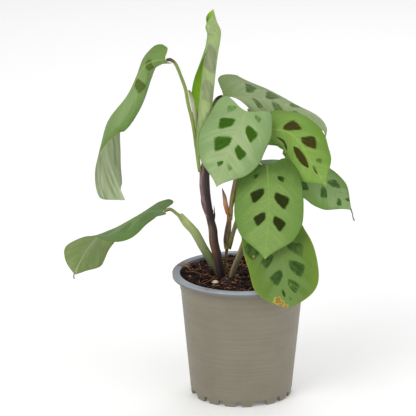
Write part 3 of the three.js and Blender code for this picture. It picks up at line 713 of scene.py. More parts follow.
# %% Rings and scales
JOINTS = {
    "cane": [(0.3, 0.2, 0.008), (0.61, 0.5, 0.012), (0.9, 0.3, 0.01)],
    "side_stem": [(0.47, 0.4, 0.015)],
    "stalk_tall": [(0.84, 0.15, 0.01), (0.93, 0.25, 0.06)],
    "stalk_low": [(0.84, 0.15, 0.01), (0.93, 0.25, 0.06)],
}
SCALES = {
    "cane": [
        dict(path=[(-30.5, -16.5, 164), (-31.5, -17.5, 170), (-32, -17, 177), (-32, -15, 186)],
             radii=[0.3, 1.9, 3.2, 3.4],
             tones=((0, (222, 208, 196)), (0.25, (120, 90, 88)), (1, (96, 68, 70)))),
        dict(path=[(-25, -14, 157), (-23.8, -14, 163), (-23.6, -14, 167), (-24, -14, 173)],
             radii=[1.4, 1, 0.5, 0.15], tones=((0, (60, 38, 36)), (1, (40, 26, 26)))),
    ],
    "side_stem": [
        dict(path=[(-9.6, -8, 158), (-8.8, -8, 166), (-8.6, -8, 172), (-8.2, -8, 181)],
             radii=[1.4, 1.2, 0.8, 0.3],
             tones=((0, (150, 120, 60)), (0.6, (140, 96, 76)), (1, (104, 70, 64)))),
    ],
    "stalk_low": [
        dict(path=[(-31, -16, 135), (-39, -23, 151), (-46, -27.5, 161), (-52, -29.5, 169.5)],
             radii=[2, 2.8, 2.5, 1.5],
             tones=((0, (128, 140, 94)), (0.7, (172, 186, 116)), (1, (150, 162, 92)))),
    ],
}


def dry_skin(name, tones, fine=(4, 40), streak=None, low=0.45, most=0.6, edge=None):
    """A dry scale, tail or sheath: a colour from its base to its point, fine streaks along it, and maybe
    an edge of its own colour."""
    made = Recipe(name)
    along, about, _ = made.parts("UV")
    grain = made.grain(along, fine[0], about, fine[1], 3)
    streak = streak or [0.72 * value for value in tones[-1][1]]
    colour = made.layers(made.steps(along, tones), (grain, low, 0.7, 0, most, streak))
    if edge:
        off = made.maths("ABSOLUTE", made.maths("MULTIPLY_ADD", about, 2, -1))
        colour = made.layers(colour, (off, 0.03, 0.14, 0.8, 0, edge))
    return made.done(colour, 0.6, made.relief(grain, 0.0001))


print("scales:", sum(map(len, SCALES.values())))

# %% [markdown]
# Every stem is one piece with its scales on it. The low leaf's stalk alone has ribs to be felt, because
# the old sheath round it has dried in folds.

# %% Make the canes and stalks
SLOTS = {"cane": "cane", "side_stem": "cane", "bract": "bract"}
RIBBED = dict(ribs=16, rib_height=0.12, sides=64)
for name, stem in STEMS.items():
    more = RIBBED if name == "stalk_low" else dict(cup=0.3) if name == "bract" else {}
    stem_parts = Grids()
    stem_parts.add(stem_grid(**stem, **more, joints=JOINTS.get(name, ())))
    skins = [stem_skin(f"skin of {name}", **SKINS[name])]
    for number, scale in enumerate(SCALES.get(name, ())):
        stem_parts.add(stem_grid(scale["path"], scale["radii"], flat=0.25, cup=0.5), which=len(skins))
        skins.append(dry_skin(f"scale {number} of {name}", scale["tones"]))
    belongs(stem_parts.piece(name + "_skin", skins), SLOTS.get(name, "stalk"), name)

# %% [markdown]
# A leaf is one thin sheet. Its outline is a formula: half of it swells as part of an ellipse to the widest
# place and closes to the tip as a power curve. The midrib is a curve through a few points, and each half
# bends away from it along an arc. The part's solids use the same rule, so the looks sit where they do.

# %% The leaves' courses and shapes
LEAVES = {
    "tall": dict(
        midrib=[(-65, -26, 304), (-73, -24, 303), (-82, -21, 298), (-89, -18, 286), (-98, -15, 269),
                (-111, -13, 252), (-116, -14, 241), (-116, -16, 226), (-110, -19, 204), (-100, -22, 180)],
        face=[(-0.5, -0.6, 0.7), (-1, 0.5, 0.45), (-0.1, 1, 0)], width=46, lobe=3, peak=0.78, root=0.42,
        blunt=6, left=([-60, 20, 30, -105, -110], [100, 90, 60]),
        right=([80, 60, 20, -10, 20], [120, 220, 130, 0, 30]), ruffle=(1, 2, 0)),
    "low": dict(
        midrib=[(-67, -30, 173), (-83, -26, 170), (-106, -20, 156), (-121, -18, 148), (-131, -20, 138),
                (-139, -24, 125), (-143, -27, 115)],
        face=[(-0.2, 0, 1), (-0.3, 0.9, 1), (-0.4, 0.9, 0.4)], width=60, lobe=6, peak=0.5, root=0.45,
        blunt=7, left=([-10, -20, -5], [0, 20, 10]), right=([-5, 60, 35, 0, 0], [0, 30, 20, 0, 0]),
        ruffle=(1, 2, 1)),
    "rolled": dict(
        midrib=[(-32, -18, 221), (-28, -18, 245), (-25, -18, 275), (-22, -18, 302), (-19, -18, 321),
                (-19, -18, 328), (-22, -18, 335), (-25, -19, 346)],
        face=[(-0.9, -0.45, 0), (-0.9, -0.45, 0), (-1, -0.2, 0)], width=42, lobe=3, peak=0.5, root=0.42,
        blunt=6, drawn=0, left=([0, 0, 0], [-215, -215, -215]), right=([0, 0, 0], [-60, -20, -200, -330]),
        ruffle=(0, 1, 0)),
    "pale": dict(
        midrib=[(3, -34, 262), (-2, -40, 250), (-10, -45, 234), (-16, -48, 218), (-22, -50, 200)],
        face=[(-0.1, -0.85, 0.5), (-0.1, -0.95, 0.35), (-0.1, -1, 0.2)], width=61, lobe=7, peak=0.34,
        root=0.68, blunt=2.3, left=([0, 0, 0], [15, 20, 10]), right=([0, 0, 0], [70, 40, 10]),
        ruffle=(1, 2, 0)),
    "back": dict(
        midrib=[(-16, -8, 268), (3, 3, 265), (23, 14, 258), (49, 21, 247), (66, 24, 240), (73, 25, 231),
                (72, 25, 221)],
        face=[(-0.2, -0.8, 0.5), (0.1, -0.35, 1), (0.9, -0.1, 0.3)], width=52, lobe=2, peak=0.36, root=0.55,
        blunt=2.6, left=([-70, 10, 40, 30], [20, 60, 60, 30]), right=([-5, 0, 20], [20, 40, 60]),
        ruffle=(0.8, 2, 0)),
    "bright": dict(
        midrib=[(18, -20, 242), (29, -24, 243), (40, -29, 241), (49, -33, 233), (57, -35, 219),
                (71, -35, 197)],
        face=[(0, -0.85, 0.5), (0.15, -0.95, 0.4), (0.2, -0.95, 0.3)], width=48, lobe=5, peak=0.45, root=0.45,
        blunt=2.8, left=([35, 25, 0], [50, 70, 40]), right=([10, 0, 0], [30, 40, 20]), ruffle=(1, 2, 2)),
    "side": dict(
        midrib=[(19, -8, 206), (37, -8, 204), (55, -8, 199), (73, -8, 189), (94, -8, 167)],
        face=[(0.1, -0.35, 0.95), (0.2, -0.25, 0.9), (0.3, -0.5, 0.8)], width=47, lobe=6, peak=0.45,
        root=0.45, blunt=2.8, left=([0, 10, 40], [10, 20, 30]), right=([10, 0, -20], [25, 20, 10]),
        ruffle=(1, 2, 1)),
    "middle": dict(
        midrib=[(21, -34, 214), (22, -44, 196), (22, -52, 179), (21, -58, 162), (19, -62, 140)],
        face=[(0, -0.8, 0.6), (0, -0.95, 0.35), (0, -1, 0.2)], width=60, lobe=6, peak=0.42, root=0.5,
        blunt=2.8, left=([5, 5, 5], [25, 25, 15]), right=([0, 0, 5], [10, 15, 15]), ruffle=(0.8, 2, 0)),
    "hanging": dict(
        midrib=[(22, -34, 169), (27, -44, 153), (33, -54, 138), (37, -61, 120), (40, -66, 98)],
        face=[(0, -0.75, 0.65), (0, -0.9, 0.4), (0, -1, 0.2)], width=59, lobe=7, peak=0.45, root=0.5,
        blunt=4.5, drawn=0, left=([0, 0, 0], [15, 15, 10]), right=([0, 0, 0], [15, 15, 10]),
        ruffle=(0.8, 2, 2)),
}
COURSE_POINTS, SIDE_PHASE, SWEEP = 800, 2.1, 0.06
LEAST_HALF, DRAWN_FROM = 0.35, 0.6


def between(values, t):
    """Smooth blend of a few values, from the first at t = 0 to the last at t = 1.

    Neighbours are blended into one value fewer, (1 - t) a + t b, until one is left."""
    values = [np.asarray(value, float) for value in values]
    t = t[..., None] if values[0].ndim else t
    while len(values) > 1:
        values = [(1 - t) * a + t * b for a, b in zip(values, values[1:])]
    return values[0]


def half_width(t, width, peak, root, blunt, drawn):
    """Half the blade's width: part of an ellipse up to the peak, then 1 - q^blunt, drawn in to a point."""
    swell = root + (1 - root) * np.sqrt(np.clip(1 - (1 - np.minimum(t, peak) / peak) ** 2, 0, 1))
    q = np.clip((t - peak) / (1 - peak), 0, 1)
    last = np.clip((q - DRAWN_FROM) / (1 - DRAWN_FROM), 0, 1)
    close = (1 - q ** blunt) * (1 - drawn * eased(last))
    return np.maximum(LEAST_HALF, width / 2 * np.where(t < peak, swell, close))


print("leaves:", len(LEAVES))

# %% [markdown]
# The sheet is a grid from base to tip and from margin to margin, closer where a leaf bends most: at both
# ends and beside the midrib. Each half is bent as an arc, so its width stays the same however it curls.

# %% One leaf's middle surface


def looked_up(points, known, at):
    """Places on a curve at other distances than the known ones of its points."""
    return np.stack([np.interp(at, known, points[:, k]) for k in range(3)], -1)


def sheet_normal(sheet):
    """The direction square to a sheet of points, at each of them."""
    return unit(np.cross(np.gradient(sheet, axis=0), np.gradient(sheet, axis=1)))


def blade(leaf, rows, columns):
    """Points of the sheet on a grid, with the upper side's direction and the place of each on the leaf.

    The point is midrib + across sign(s) (chord cos(fold + bend / 2) + wave sin(fold + bend))
    + face (wave cos(fold + bend) - chord sin(fold + bend / 2)). bend = curl out / (width / 2) is how far
    the half has turned at a distance out, and the chord is the straight line under that arc."""
    t = ((1 - np.cos(np.pi * np.linspace(0, 1, rows))) / 2)[:, None]
    x = np.linspace(-1, 1, columns)[None, :]
    s = 0.75 * x + 0.25 * x ** 3
    curve = curve_at(leaf["midrib"], np.linspace(0, 1, COURSE_POINTS))
    walked = np.r_[0, np.cumsum(np.linalg.norm(np.diff(curve, axis=0), axis=1))]
    length, half = walked[-1], leaf["width"] / 2
    outline = [leaf[key] for key in ("width", "peak", "root", "blunt")]
    out = np.abs(s) * half_width(t, *outline, leaf.get("drawn", 0.5))
    lobes = leaf["lobe"] * (1 - np.cos(np.pi * s)) * (1 - t) ** 3 / 2
    share = (length * t - lobes + SWEEP * length * s ** 2 * t * (1 - t)) / length
    inside = np.clip(share, 0, 1)
    rib = looked_up(curve, walked, inside * length)
    along = unit(looked_up(unit(np.gradient(curve, axis=0)), walked, inside * length))
    face = between(leaf["face"], inside)
    face = unit(face - (face * along).sum(-1, keepdims=True) * along)
    across = np.cross(face, along) * np.sign(s)[..., None]
    left, right = ([np.radians(between(values, inside)) for values in leaf[key]] for key in ("left", "right"))
    fold, curl = (np.where(s < 0, of_left, of_right) for of_left, of_right in zip(left, right))
    bend = curl * out / half
    chord = out * np.sinc(bend / 2 / np.pi)
    height, waves, start = leaf["ruffle"]
    phase = start + np.where(s < 0, SIDE_PHASE, 0)
    wave = height * (out / half) ** 2 * np.sin(2 * np.pi * waves * share + phase)
    sideways = chord * np.cos(fold + bend / 2) + wave * np.sin(fold + bend)
    upwards = wave * np.cos(fold + bend) - chord * np.sin(fold + bend / 2)
    points = rib + along * (np.minimum(share, 0) * length)[..., None]
    points = points + across * sideways[..., None] + face * upwards[..., None]
    return dict(points=points, normal=sheet_normal(points), share=share, side=np.sign(s) * out / half,
                reach=np.abs(s) + 0 * t, out=out, length=length, half=half)


print("middle leaf, length:", round(blade(LEAVES["middle"], 11, 7)["length"], 1), "mm")

# %% [markdown]
# Fine veins leave the midrib at a slant and sweep towards the tip, close together. The spots lie between
# them, so a spot's edge is feathered along the veins. Both follow from one number per point, its station:
# where on the midrib the vein through that point begins.

# %% Veins on the blade
SLANT, BEND = 0.26, 0.1


def lean(side):
    """How far along the leaf a vein has moved when it is that far out, as a share of the length."""
    return SLANT * np.abs(side) + BEND * side ** 2


print("a vein ends", round(lean(1.0), 2), "of the length nearer the tip than it starts")

# %% [markdown]
# A dark spot is a rounded quadrilateral between two veins: narrow at the midrib, wide further out, and cut
# off at a slant. Its place is a share of the length and a side, from -1 to 1, and then come its size and
# how faint it is. Nearer the tip a spot turns with the veins, so that it points forward more.

# %% Spots on the blade
SPOT_SIDES, SPOT_TURN = ((156, 3.9), (65, 5.5), (-46, 3.6), (-97, 5.1)), 30
FAR_OFF = 4.0
SPOTS = {
    "tall": [(0.11, 0.1, 0.9, 0), (0.25, 0.2, 0.95, 0),
             (0.3, -0.4, 0.9, 0.6), (0.46, -0.4, 0.9, 0.6), (0.62, -0.4, 0.9, 0.6)],
    "low": [(0.15, 0.35, 0.8, 0.85), (0.33, 0.4, 0.9, 0.85), (0.5, 0.35, 0.9, 0.85), (0.67, 0.3, 0.8, 0.8),
            (0.14, -0.3, 0.8, 0.85), (0.32, -0.35, 0.9, 0.85), (0.5, -0.3, 0.9, 0.8),
            (0.67, -0.25, 0.8, 0.8)],
    "rolled": [(0.69, -0.5, 1.3, 0), (0.62, -0.5, 1.3, 0), (0.46, -0.46, 1.2, 0.12), (0.4, -0.42, 1.1, 0.12),
               (0.88, -0.48, 0.5, 0.6), (0.68, 0.3, 0.8, 0.5), (0.5, 0.35, 0.9, 0.5), (0.32, 0.35, 0.8, 0.5)],
    "pale": [(0.23, -0.39, 1.15, 0), (0.47, -0.25, 1.2, 0), (0.71, -0.11, 0.45, 0.3), (0.23, 0.34, 0.98, 0),
             (0.5, 0.29, 0.95, 0), (0.03, -0.41, 0.6, 0.85), (0.04, 0.37, 0.5, 0.85),
             (0.72, 0.16, 0.45, 0.85)],
    "back": [(0.26, 0.38, 1.1, 0.5), (0.43, 0.3, 1.1, 0.5), (0.27, -0.27, 0.9, 0.5), (0.47, -0.17, 1, 0.6),
             (0.62, 0.25, 0.9, 0.6), (0.64, -0.2, 0.8, 0.7)],
    "bright": [(0.28, 0.26, 0.98, 0), (0.5, 0.3, 1.05, 0), (0.73, 0.26, 0.45, 0.9)],
    "side": [(0.7, 0.27, 0.9, 0.4), (0.66, -0.32, 0.8, 0.4), (0.85, -0.14, 0.5, 0.5), (0.9, 0.18, 0.4, 0.5),
             (0.41, -0.5, 0.9, 0.3), (0.44, 0.37, 1, 0.3), (0.2, -0.4, 0.7, 0.5), (0.2, 0.35, 0.7, 0.5)],
    "middle": [(0.31, -0.31, 1.05, 0), (0.57, -0.23, 0.95, 0), (0.37, 0.35, 1.1, 0), (0.61, 0.29, 0.97, 0),
               (0.1, -0.33, 0.35, 0.5), (0.15, 0.36, 0.5, 0.4)],
    "hanging": [(0.41, 0.47, 1.1, 0.62), (0.6, 0.36, 1.15, 0.3), (0.77, 0.18, 0.9, 0.4),
                (0.45, -0.39, 1, 0.3), (0.66, -0.23, 1, 0.1), (0.9, 0.04, 0.3, 0.85),
                (0.27, -0.62, 1.4, 0.5), (0.2, 0.4, 0.8, 0.5)],
}


def spot_field(forward, outward, length, half, spots):
    """How far each point is from the nearest spot: 0 at its middle, 1 at its edge. Lengths in mm.

    A side of the spot faces an angle a at a distance. A point (x, y) is (x cos a + y sin a) / distance of
    the way out to it, and the sides are joined as (the sum of those shares' fourth powers)^(1/4)."""
    nearest = np.full(outward.shape, FAR_OFF)
    for place, where, size, least in spots:
        x, y = forward - place * length, outward * math.copysign(1, where) - abs(where) * half
        turn = SPOT_TURN * (0.45 - place)
        ways = [(math.radians(angle + turn), distance * size) for angle, distance in SPOT_SIDES]
        far = sum(np.maximum((x * math.cos(a) + y * math.sin(a)) / d, 0) ** 4 for a, d in ways) ** (1 / 4)
        nearest = np.minimum(nearest, np.maximum(far, 0.86 + 0.26 * least))
    return nearest


print("spots:", sum(map(len, SPOTS.values())))

# %% [markdown]
# Some spots run together into a dark streak. A streak is a line from one place on the leaf to another,
# with a half width, and it thins towards both ends.

# %% Streaks on the blade
STREAKS = {
    "bright": [(0.15, -0.29, 0.42, -0.6, 1.5), (0.45, -0.27, 0.72, -0.19, 3.1), (0.73, 0, 0.84, -0.04, 1.1)],
    "hanging": [(0.8, -0.14, 0.88, -0.1, 1.2)],
    "back": [(0.5, -0.24, 0.72, -0.14, 1.6)],
}


def streak_field(forward, outward, length, half, streaks):
    """Distance from a line drawn on the leaf over the streak's half width, which shrinks at both ends."""
    nearest = np.full(outward.shape, FAR_OFF)
    for place, where, end_place, end_where, width in streaks:
        x, y = forward - place * length, outward - where * half
        run, rise = (end_place - place) * length, (end_where - where) * half
        share = np.clip((x * run + y * rise) / (run ** 2 + rise ** 2), 0, 1)
        thick = width * (1 - 0.75 * np.abs(2 * share - 1) ** 2.5)
        nearest = np.minimum(nearest, np.hypot(x - share * run, y - share * rise) / thick)
    return nearest


print("streaks:", sum(map(len, STREAKS.values())))

# %% [markdown]
# Along the midrib runs a paler band. Between two spots it sends a finger out along the veins, so where it
# ends depends on how far the vein through a point is from the veins through the spots. Dry flecks are round.

# %% The pale band and dry flecks
FLECKS = {
    "hanging": [(0.91, -0.32, 3.6), (0.945, -0.22, 3.4), (0.975, -0.11, 2.8), (0.35, -0.74, 1.3),
                (0.34, -0.97, 1.2), (0.76, 0.11, 1)],
    "low": [(0.6, -0.97, 2.2)],
}
FINGER, SHORT_BAND, LONG_BAND = 0.11, 0.25, 0.7


def band_field(station, side, spots):
    """Distance from the midrib as a share of where the pale band ends: sooner beside a spot."""
    gap = np.full(side.shape, 1.0)
    for place, where, *_ in spots:
        same = side * where > 0
        gap = np.where(same, np.minimum(gap, np.abs(station - (place - lean(where)))), gap)
    return np.abs(side) / (SHORT_BAND + (LONG_BAND - SHORT_BAND) * eased(np.clip(gap / FINGER, 0, 1)))


def fleck_field(forward, outward, length, half, flecks):
    """How far each point is from the nearest fleck: 0 at its middle, 1 at its edge."""
    nearest = np.full(outward.shape, FAR_OFF)
    for place, where, size in flecks:
        nearest = np.minimum(nearest, np.hypot(forward - place * length, outward - where * half) / size)
    return nearest


print("flecks:", sum(map(len, FLECKS.values())))

# %% [markdown]
# The blade gets a real thickness that thins out towards the margin, shallow pleats along the veins, and a
# midrib that is a groove above and a round rib below. Solidify gives one even thickness, so the two sides
# are worked out here. Together they are one closed grid that goes over the leaf and back underneath. Two
# leaves end in a dry, thread-like tail, which is a short stem of its own.

# %% Give the blade its two sides
THICK_MIDDLE, THICK_MARGIN, THINNER_BY = 0.55, 0.28, 0.75
PLEATS, PLEAT_HEIGHT = 13, 0.05
GROOVE_DEPTH, RIB_DEPTH = 0.25, 0.75
TAILS = {
    "side": [(93.2, -8, 168), (94.7, -8, 163.5), (95.2, -8, 160.5), (96.4, -8, 157.5)],
    "low": [(-143.2, -27, 117), (-144, -27, 113.7), (-143.7, -27, 111.5)],
}
TAIL_RADII = [0.7, 0.45, 0.5, 0.6]


def there_and_back(middle, upper, lower):
    """One closed grid over a sheet and back underneath, that starts and ends on the sheet's middle."""
    ring = np.concatenate([upper, lower[:, ::-1]], 1)
    ends = np.concatenate([middle, middle[:, ::-1]], 1)
    return np.concatenate([ends[:1], ring, ends[-1:]])


def leaf_grids(name, rows=112, columns=113):
    """Upper and lower side as one wrapped grid, with the places, veins and spots of every point."""
    leaf = blade(LEAVES[name], rows, columns)
    side, share, reach, out = (leaf[key] for key in ("side", "share", "reach", "out"))
    station = share - lean(side)
    half_thick = (THICK_MIDDLE + (THICK_MARGIN - THICK_MIDDLE) * reach ** 2) / 2
    fade = np.clip(out / 4, 0, 1) * (1 - reach ** 6)
    pleat = PLEAT_HEIGHT * np.sin(2 * np.pi * PLEATS * station) * fade
    thinner = 1 - THINNER_BY * np.clip(share, 0, 1)
    groove = GROOVE_DEPTH * thinner * np.exp(-(out / 0.9) ** 2)
    rib = RIB_DEPTH * thinner * np.exp(-(out / 0.8) ** 2)
    sheet, normal, length, half = (leaf[key] for key in ("points", "normal", "length", "half"))
    upper = sheet + normal * (pleat + half_thick - groove)[..., None]
    lower = sheet + normal * (pleat - half_thick - rib)[..., None]
    spot, streak, fleck = (field(share * length, side * half, length, half, marks.get(name, []))
                           for field, marks in ((spot_field, SPOTS), (streak_field, STREAKS),
                                                (fleck_field, FLECKS)))
    values = dict(station=station, spot=np.minimum(spot, streak), reach=reach,
                  band=band_field(station, side, SPOTS[name]), fleck=fleck)

    def both(numbers):
        return there_and_back(numbers, numbers, numbers)

    grids = Grids()
    grids.add(there_and_back(sheet, upper, lower), uv=np.stack([both(share), both(side) / 2 + 0.5], -1),
              which=np.arange(2 * columns) >= columns - 1,
              **{key: both(numbers) for key, numbers in values.items()})
    if name in TAILS:
        tail = stem_grid(TAILS[name], TAIL_RADII, sides=10)
        grids.add(tail, which=2, **{key: np.ones(tail.shape[:2]) for key in values})
    return grids


print("thickness from", THICK_MIDDLE, "to", THICK_MARGIN, "mm")

# %% [markdown]
# The upper side has a pale feathered band along the midrib, greener towards the margin, with dark spots
# that fade at their outer ends. The colours differ from leaf to leaf: the young leaves are bright with
# brown spots, the old ones milky with green spots. So the recipe is one, and each leaf has its palette.

# %% The upper side's recipe


def leaf_places(made, veins):
    """What the recipes of both sides read: share of the length and side from the UV, the distance off the
    midrib, station, spots and reach, and how close a dry fleck and each of so many veins are."""
    share, side, _ = made.parts("UV")
    off = made.maths("ABSOLUTE", made.maths("MULTIPLY_ADD", side, 2, -1))
    station, spots, reach, flecks = (made.attribute(key) for key in ("station", "spot", "reach", "fleck"))
    dry = made.maths("MULTIPLY_ADD", made.cloud(300, 3), 1.6, flecks)
    vein = made.maths("SINE", made.maths("MULTIPLY", station, 2 * math.pi * veins))
    return share, side, off, station, spots, reach, dry, vein


def upper_side(name, band, ground, margin, deep, spot, spot_edge, rib, edge, milky=0.8, loose=0.22, painted_glow=0.0):
    """band near the midrib, as strong as milky says, ground further out, margin at the edge and deep at the
    base as painted shade; then the spots, whose ends are as ragged as loose says, the midrib, a thin edge and
    dry flecks. The emission is painted light: the blade gives off light of its own in the margin colour."""
    made = Recipe(f"upper side, {name} leaf")
    share, side, off, station, spots, reach, dry, vein = leaf_places(made, 60)
    feather, pleats = made.grain(station, 70, side, 4, 3), made.grain(station, 22, side, 2, 2)
    blotch, fine = made.cloud(55, 3), made.cloud(900, 2)
    frayed = made.maths("MULTIPLY_ADD", feather, 0.7, made.maths("SUBTRACT", made.attribute("band"), 0.35))
    # Towards the base the blade is darkened to deep: painted shade.
    basal_shade = made.maths("MULTIPLY_ADD", blotch, 0.2, share)
    ragged = made.maths("MULTIPLY_ADD", feather, 2 * loose, made.maths("SUBTRACT", spots, loose + 0.15))
    ragged = made.maths("MULTIPLY_ADD", made.cloud(260, 2), 0.3, ragged)
    inner = made.layers(spot, (fine, 0.35, 0.65, 0, 0.5, 0.7 * np.array(spot)))
    # The streaks of margin colour along the pleats are painted shading of the pleats, which the bump makes as
    # well.
    colour = made.layers(
        ground, (frayed, 0.6, 1.3, milky, 0, band), (pleats, 0.35, 0.65, 0, 0.3, margin),
        (feather, 0.35, 0.8, 0, 0.3, margin), (reach, 0.6, 1.0, 0, 0.7, margin),
        (basal_shade, 0.08, 0.4, 0.75, 0, deep), (vein, 0.2, 1.0, 0, 0.07, band), (fine, 0.4, 0.7, 0, 0.15, deep),
        (blotch, 0.4, 0.75, 0, 0.25, margin), (ragged, 0.98, 1.25, 0.9, 0, spot_edge),
        (ragged, 0.88, 1.06, 0.97, 0, inner), (off, 0.008, 0.034, 0.5, 0, rib),
        (reach, 0.955, 0.985, 0, 0.6, edge), (dry, 1.55, 1.8, 0.95, 0, (182, 178, 66)),
        (dry, 1.35, 1.6, 0.9, 0, (152, 108, 54)), (dry, 0.85, 1.1, 0.9, 0, (184, 142, 90)))
    waves = made.maths("MULTIPLY_ADD", pleats, 3, feather)
    height = made.maths("ADD", made.maths("MULTIPLY", vein, 0.35), waves)
    rough = made.share(blotch, 0.2, 0.8, 0.42, 0.54)
    # The blade can give off a little light of its own in its margin colour: painted light.
    return made.done(colour, rough, made.relief(height, 0.0002), Specular_IOR_Level=0.12,
                     Emission_Color=margin, Emission_Strength=painted_glow)


print("upper side ready")

# %% [markdown]
# Underneath a leaf is greyer and duller, the folds show more, and the spots only shine through. Where the
# tall leaf turns over it is creased along its length, which one more drawn-out noise gives, and the creases
# are painted darker as shade.

# %% The underside's recipe


def underside(name, base, deep, spot, rib, creased=0.0):
    """Cloudy base, then folds, veins and margin, long creases as strong as creased says and darkened as
    painted shade, the spots that show through, a pale midrib and dry flecks."""
    made = Recipe(f"underside, {name} leaf")
    share, side, off, station, spots, reach, dry, vein = leaf_places(made, 66)
    feather, folds = made.grain(station, 50, side, 6, 3), made.grain(station, 16, side, 5, 2)
    blotch, crease_and_shade = made.cloud(60, 3), made.grain(share, 3, side, 11, 2)
    ragged = made.maths("MULTIPLY_ADD", feather, 0.6, made.maths("SUBTRACT", spots, 0.3))
    colour = made.layers(
        base, (blotch, 0.3, 0.7, 0, 0.4, deep), (folds, 0.4, 0.65, 0, 0.6, deep),
        (vein, 0.1, 1.0, 0, 0.12, deep), (feather, 0.4, 0.75, 0, 0.3, deep), (reach, 0.8, 1.0, 0, 0.7, deep),
        (crease_and_shade, 0.5, 0.64, 0, creased, 0.66 * np.array(deep)), (ragged, 0.7, 1.2, 0.75, 0, spot),
        (off, 0.012, 0.04, 0.6, 0, rib), (dry, 1.4, 1.8, 0.9, 0, (168, 120, 66)))
    waves = made.maths("MULTIPLY_ADD", folds, 3, feather)
    height = made.maths("ADD", made.maths("MULTIPLY", vein, 0.5), waves)
    height = made.maths("MULTIPLY_ADD", crease_and_shade, -6 * creased, height)
    rough = made.share(blotch, 0.2, 0.8, 0.5, 0.62)
    return made.done(colour, rough, made.relief(height, 0.00028), Specular_IOR_Level=0.25)


print("underside ready")

# %% [markdown]
# The palettes are colours as seen on a screen. Only the leaves that turn over in view need an underside of
# their own. The others share a plain one.

# %% Each leaf's palette
UPPER = {
    "tall": dict(band=(150, 170, 118), ground=(124, 152, 90), margin=(104, 138, 66), deep=(108, 138, 64),
                 spot=(92, 112, 46), spot_edge=(96, 124, 60), rib=(158, 178, 112), edge=(96, 118, 62),
                 milky=0.6),
    "low": dict(band=(130, 156, 106), ground=(112, 140, 84), margin=(98, 132, 62), deep=(80, 112, 50),
                spot=(78, 108, 50), spot_edge=(92, 124, 62), rib=(144, 168, 104), edge=(84, 112, 48),
                milky=0.6),
    # The rolled leaf glows a little: painted light for the light that shines through its thin blade.
    "rolled": dict(band=(170, 206, 90), ground=(156, 198, 66), margin=(136, 182, 36), deep=(132, 176, 42),
                   spot=(90, 120, 40), spot_edge=(100, 136, 40), rib=(170, 196, 100), edge=(104, 128, 50),
                   painted_glow=0.12),
    "pale": dict(band=(172, 189, 138), ground=(146, 172, 116), margin=(126, 156, 98), deep=(138, 168, 110),
                 spot=(56, 98, 4), spot_edge=(84, 126, 50), rib=(166, 184, 128), edge=(108, 132, 70),
                 loose=0.16),
    "back": dict(band=(168, 180, 142), ground=(146, 166, 114), margin=(112, 142, 72), deep=(128, 156, 92),
                 spot=(70, 94, 30), spot_edge=(92, 116, 62), rib=(160, 172, 130), edge=(96, 118, 66)),
    "bright": dict(band=(146, 176, 92), ground=(124, 160, 72), margin=(106, 146, 44), deep=(104, 140, 56),
                   spot=(64, 56, 8), spot_edge=(80, 96, 24), rib=(156, 182, 96), edge=(108, 136, 50),
                   milky=0.55, loose=0.3),
    "side": dict(band=(152, 178, 124), ground=(128, 160, 92), margin=(104, 142, 64), deep=(100, 136, 66),
                 spot=(56, 90, 26), spot_edge=(78, 112, 48), rib=(144, 170, 106), edge=(92, 116, 60)),
    "middle": dict(band=(146, 172, 98), ground=(122, 153, 78), margin=(104, 140, 62), deep=(52, 84, 22),
                   spot=(38, 46, 0), spot_edge=(58, 94, 20), rib=(138, 170, 72), edge=(92, 122, 54),
                   milky=0.55, loose=0.12),
    "hanging": dict(band=(112, 136, 78), ground=(96, 124, 56), margin=(110, 142, 50), deep=(74, 104, 40),
                    spot=(50, 80, 26), spot_edge=(74, 104, 46), rib=(116, 140, 84), edge=(146, 152, 58),
                    milky=1.0, loose=0.28),
}
PLAIN_UNDER = dict(base=(160, 172, 138), deep=(138, 156, 108), spot=(118, 134, 96), rib=(186, 196, 156))
UNDER = {
    # The tall leaf's creases are darkened as painted shade.
    "tall": dict(base=(194, 207, 168), deep=(164, 182, 132), spot=(132, 152, 104), rib=(190, 196, 168),
                 creased=0.5),
    "low": dict(base=(150, 166, 116), deep=(122, 148, 66), spot=(122, 134, 96), rib=(186, 196, 160)),
    "rolled": dict(base=(184, 202, 144), deep=(148, 178, 102), spot=(126, 120, 108), rib=(172, 184, 132)),
}
TAIL_TONES = ((0, (104, 110, 62)), (0.4, (112, 104, 80)), (1, (120, 112, 92)))
print("palettes:", len(UPPER), "above,", len(UNDER) + 1, "below")

# %% [markdown]
# Now shape and palette come together: one mesh per leaf, in place of the part's plain sheet of that name.

# %% Make the leaves
for name in LEAVES:
    skins = [upper_side(name, **UPPER[name]), underside(name, **UNDER.get(name, PLAIN_UNDER))]
    if name in TAILS:
        skins.append(dry_skin(f"dry tail, {name} leaf", TAIL_TONES))
    belongs(leaf_grids(name).piece(f"blade_{name}", skins), "leaf", f"leaf_{name}")

# %% [markdown]
# Beside the tall leaf's stalk runs a thin papery sheath, a strip that starts as a point at the top. The same
# grid method makes it: one direction follows the stalk and the other leads away from it.

# %% The sheath wing
WING = dict(start=0.54, end=0.2, narrow=0.6, width=3.2, back=3.0, clear=1.9)
WING_TONES = [(0, (70, 60, 66)), (0.05, (140, 150, 80)), (0.3, (190, 196, 160)), (0.7, (176, 170, 140)),
              (1, (132, 128, 92))]


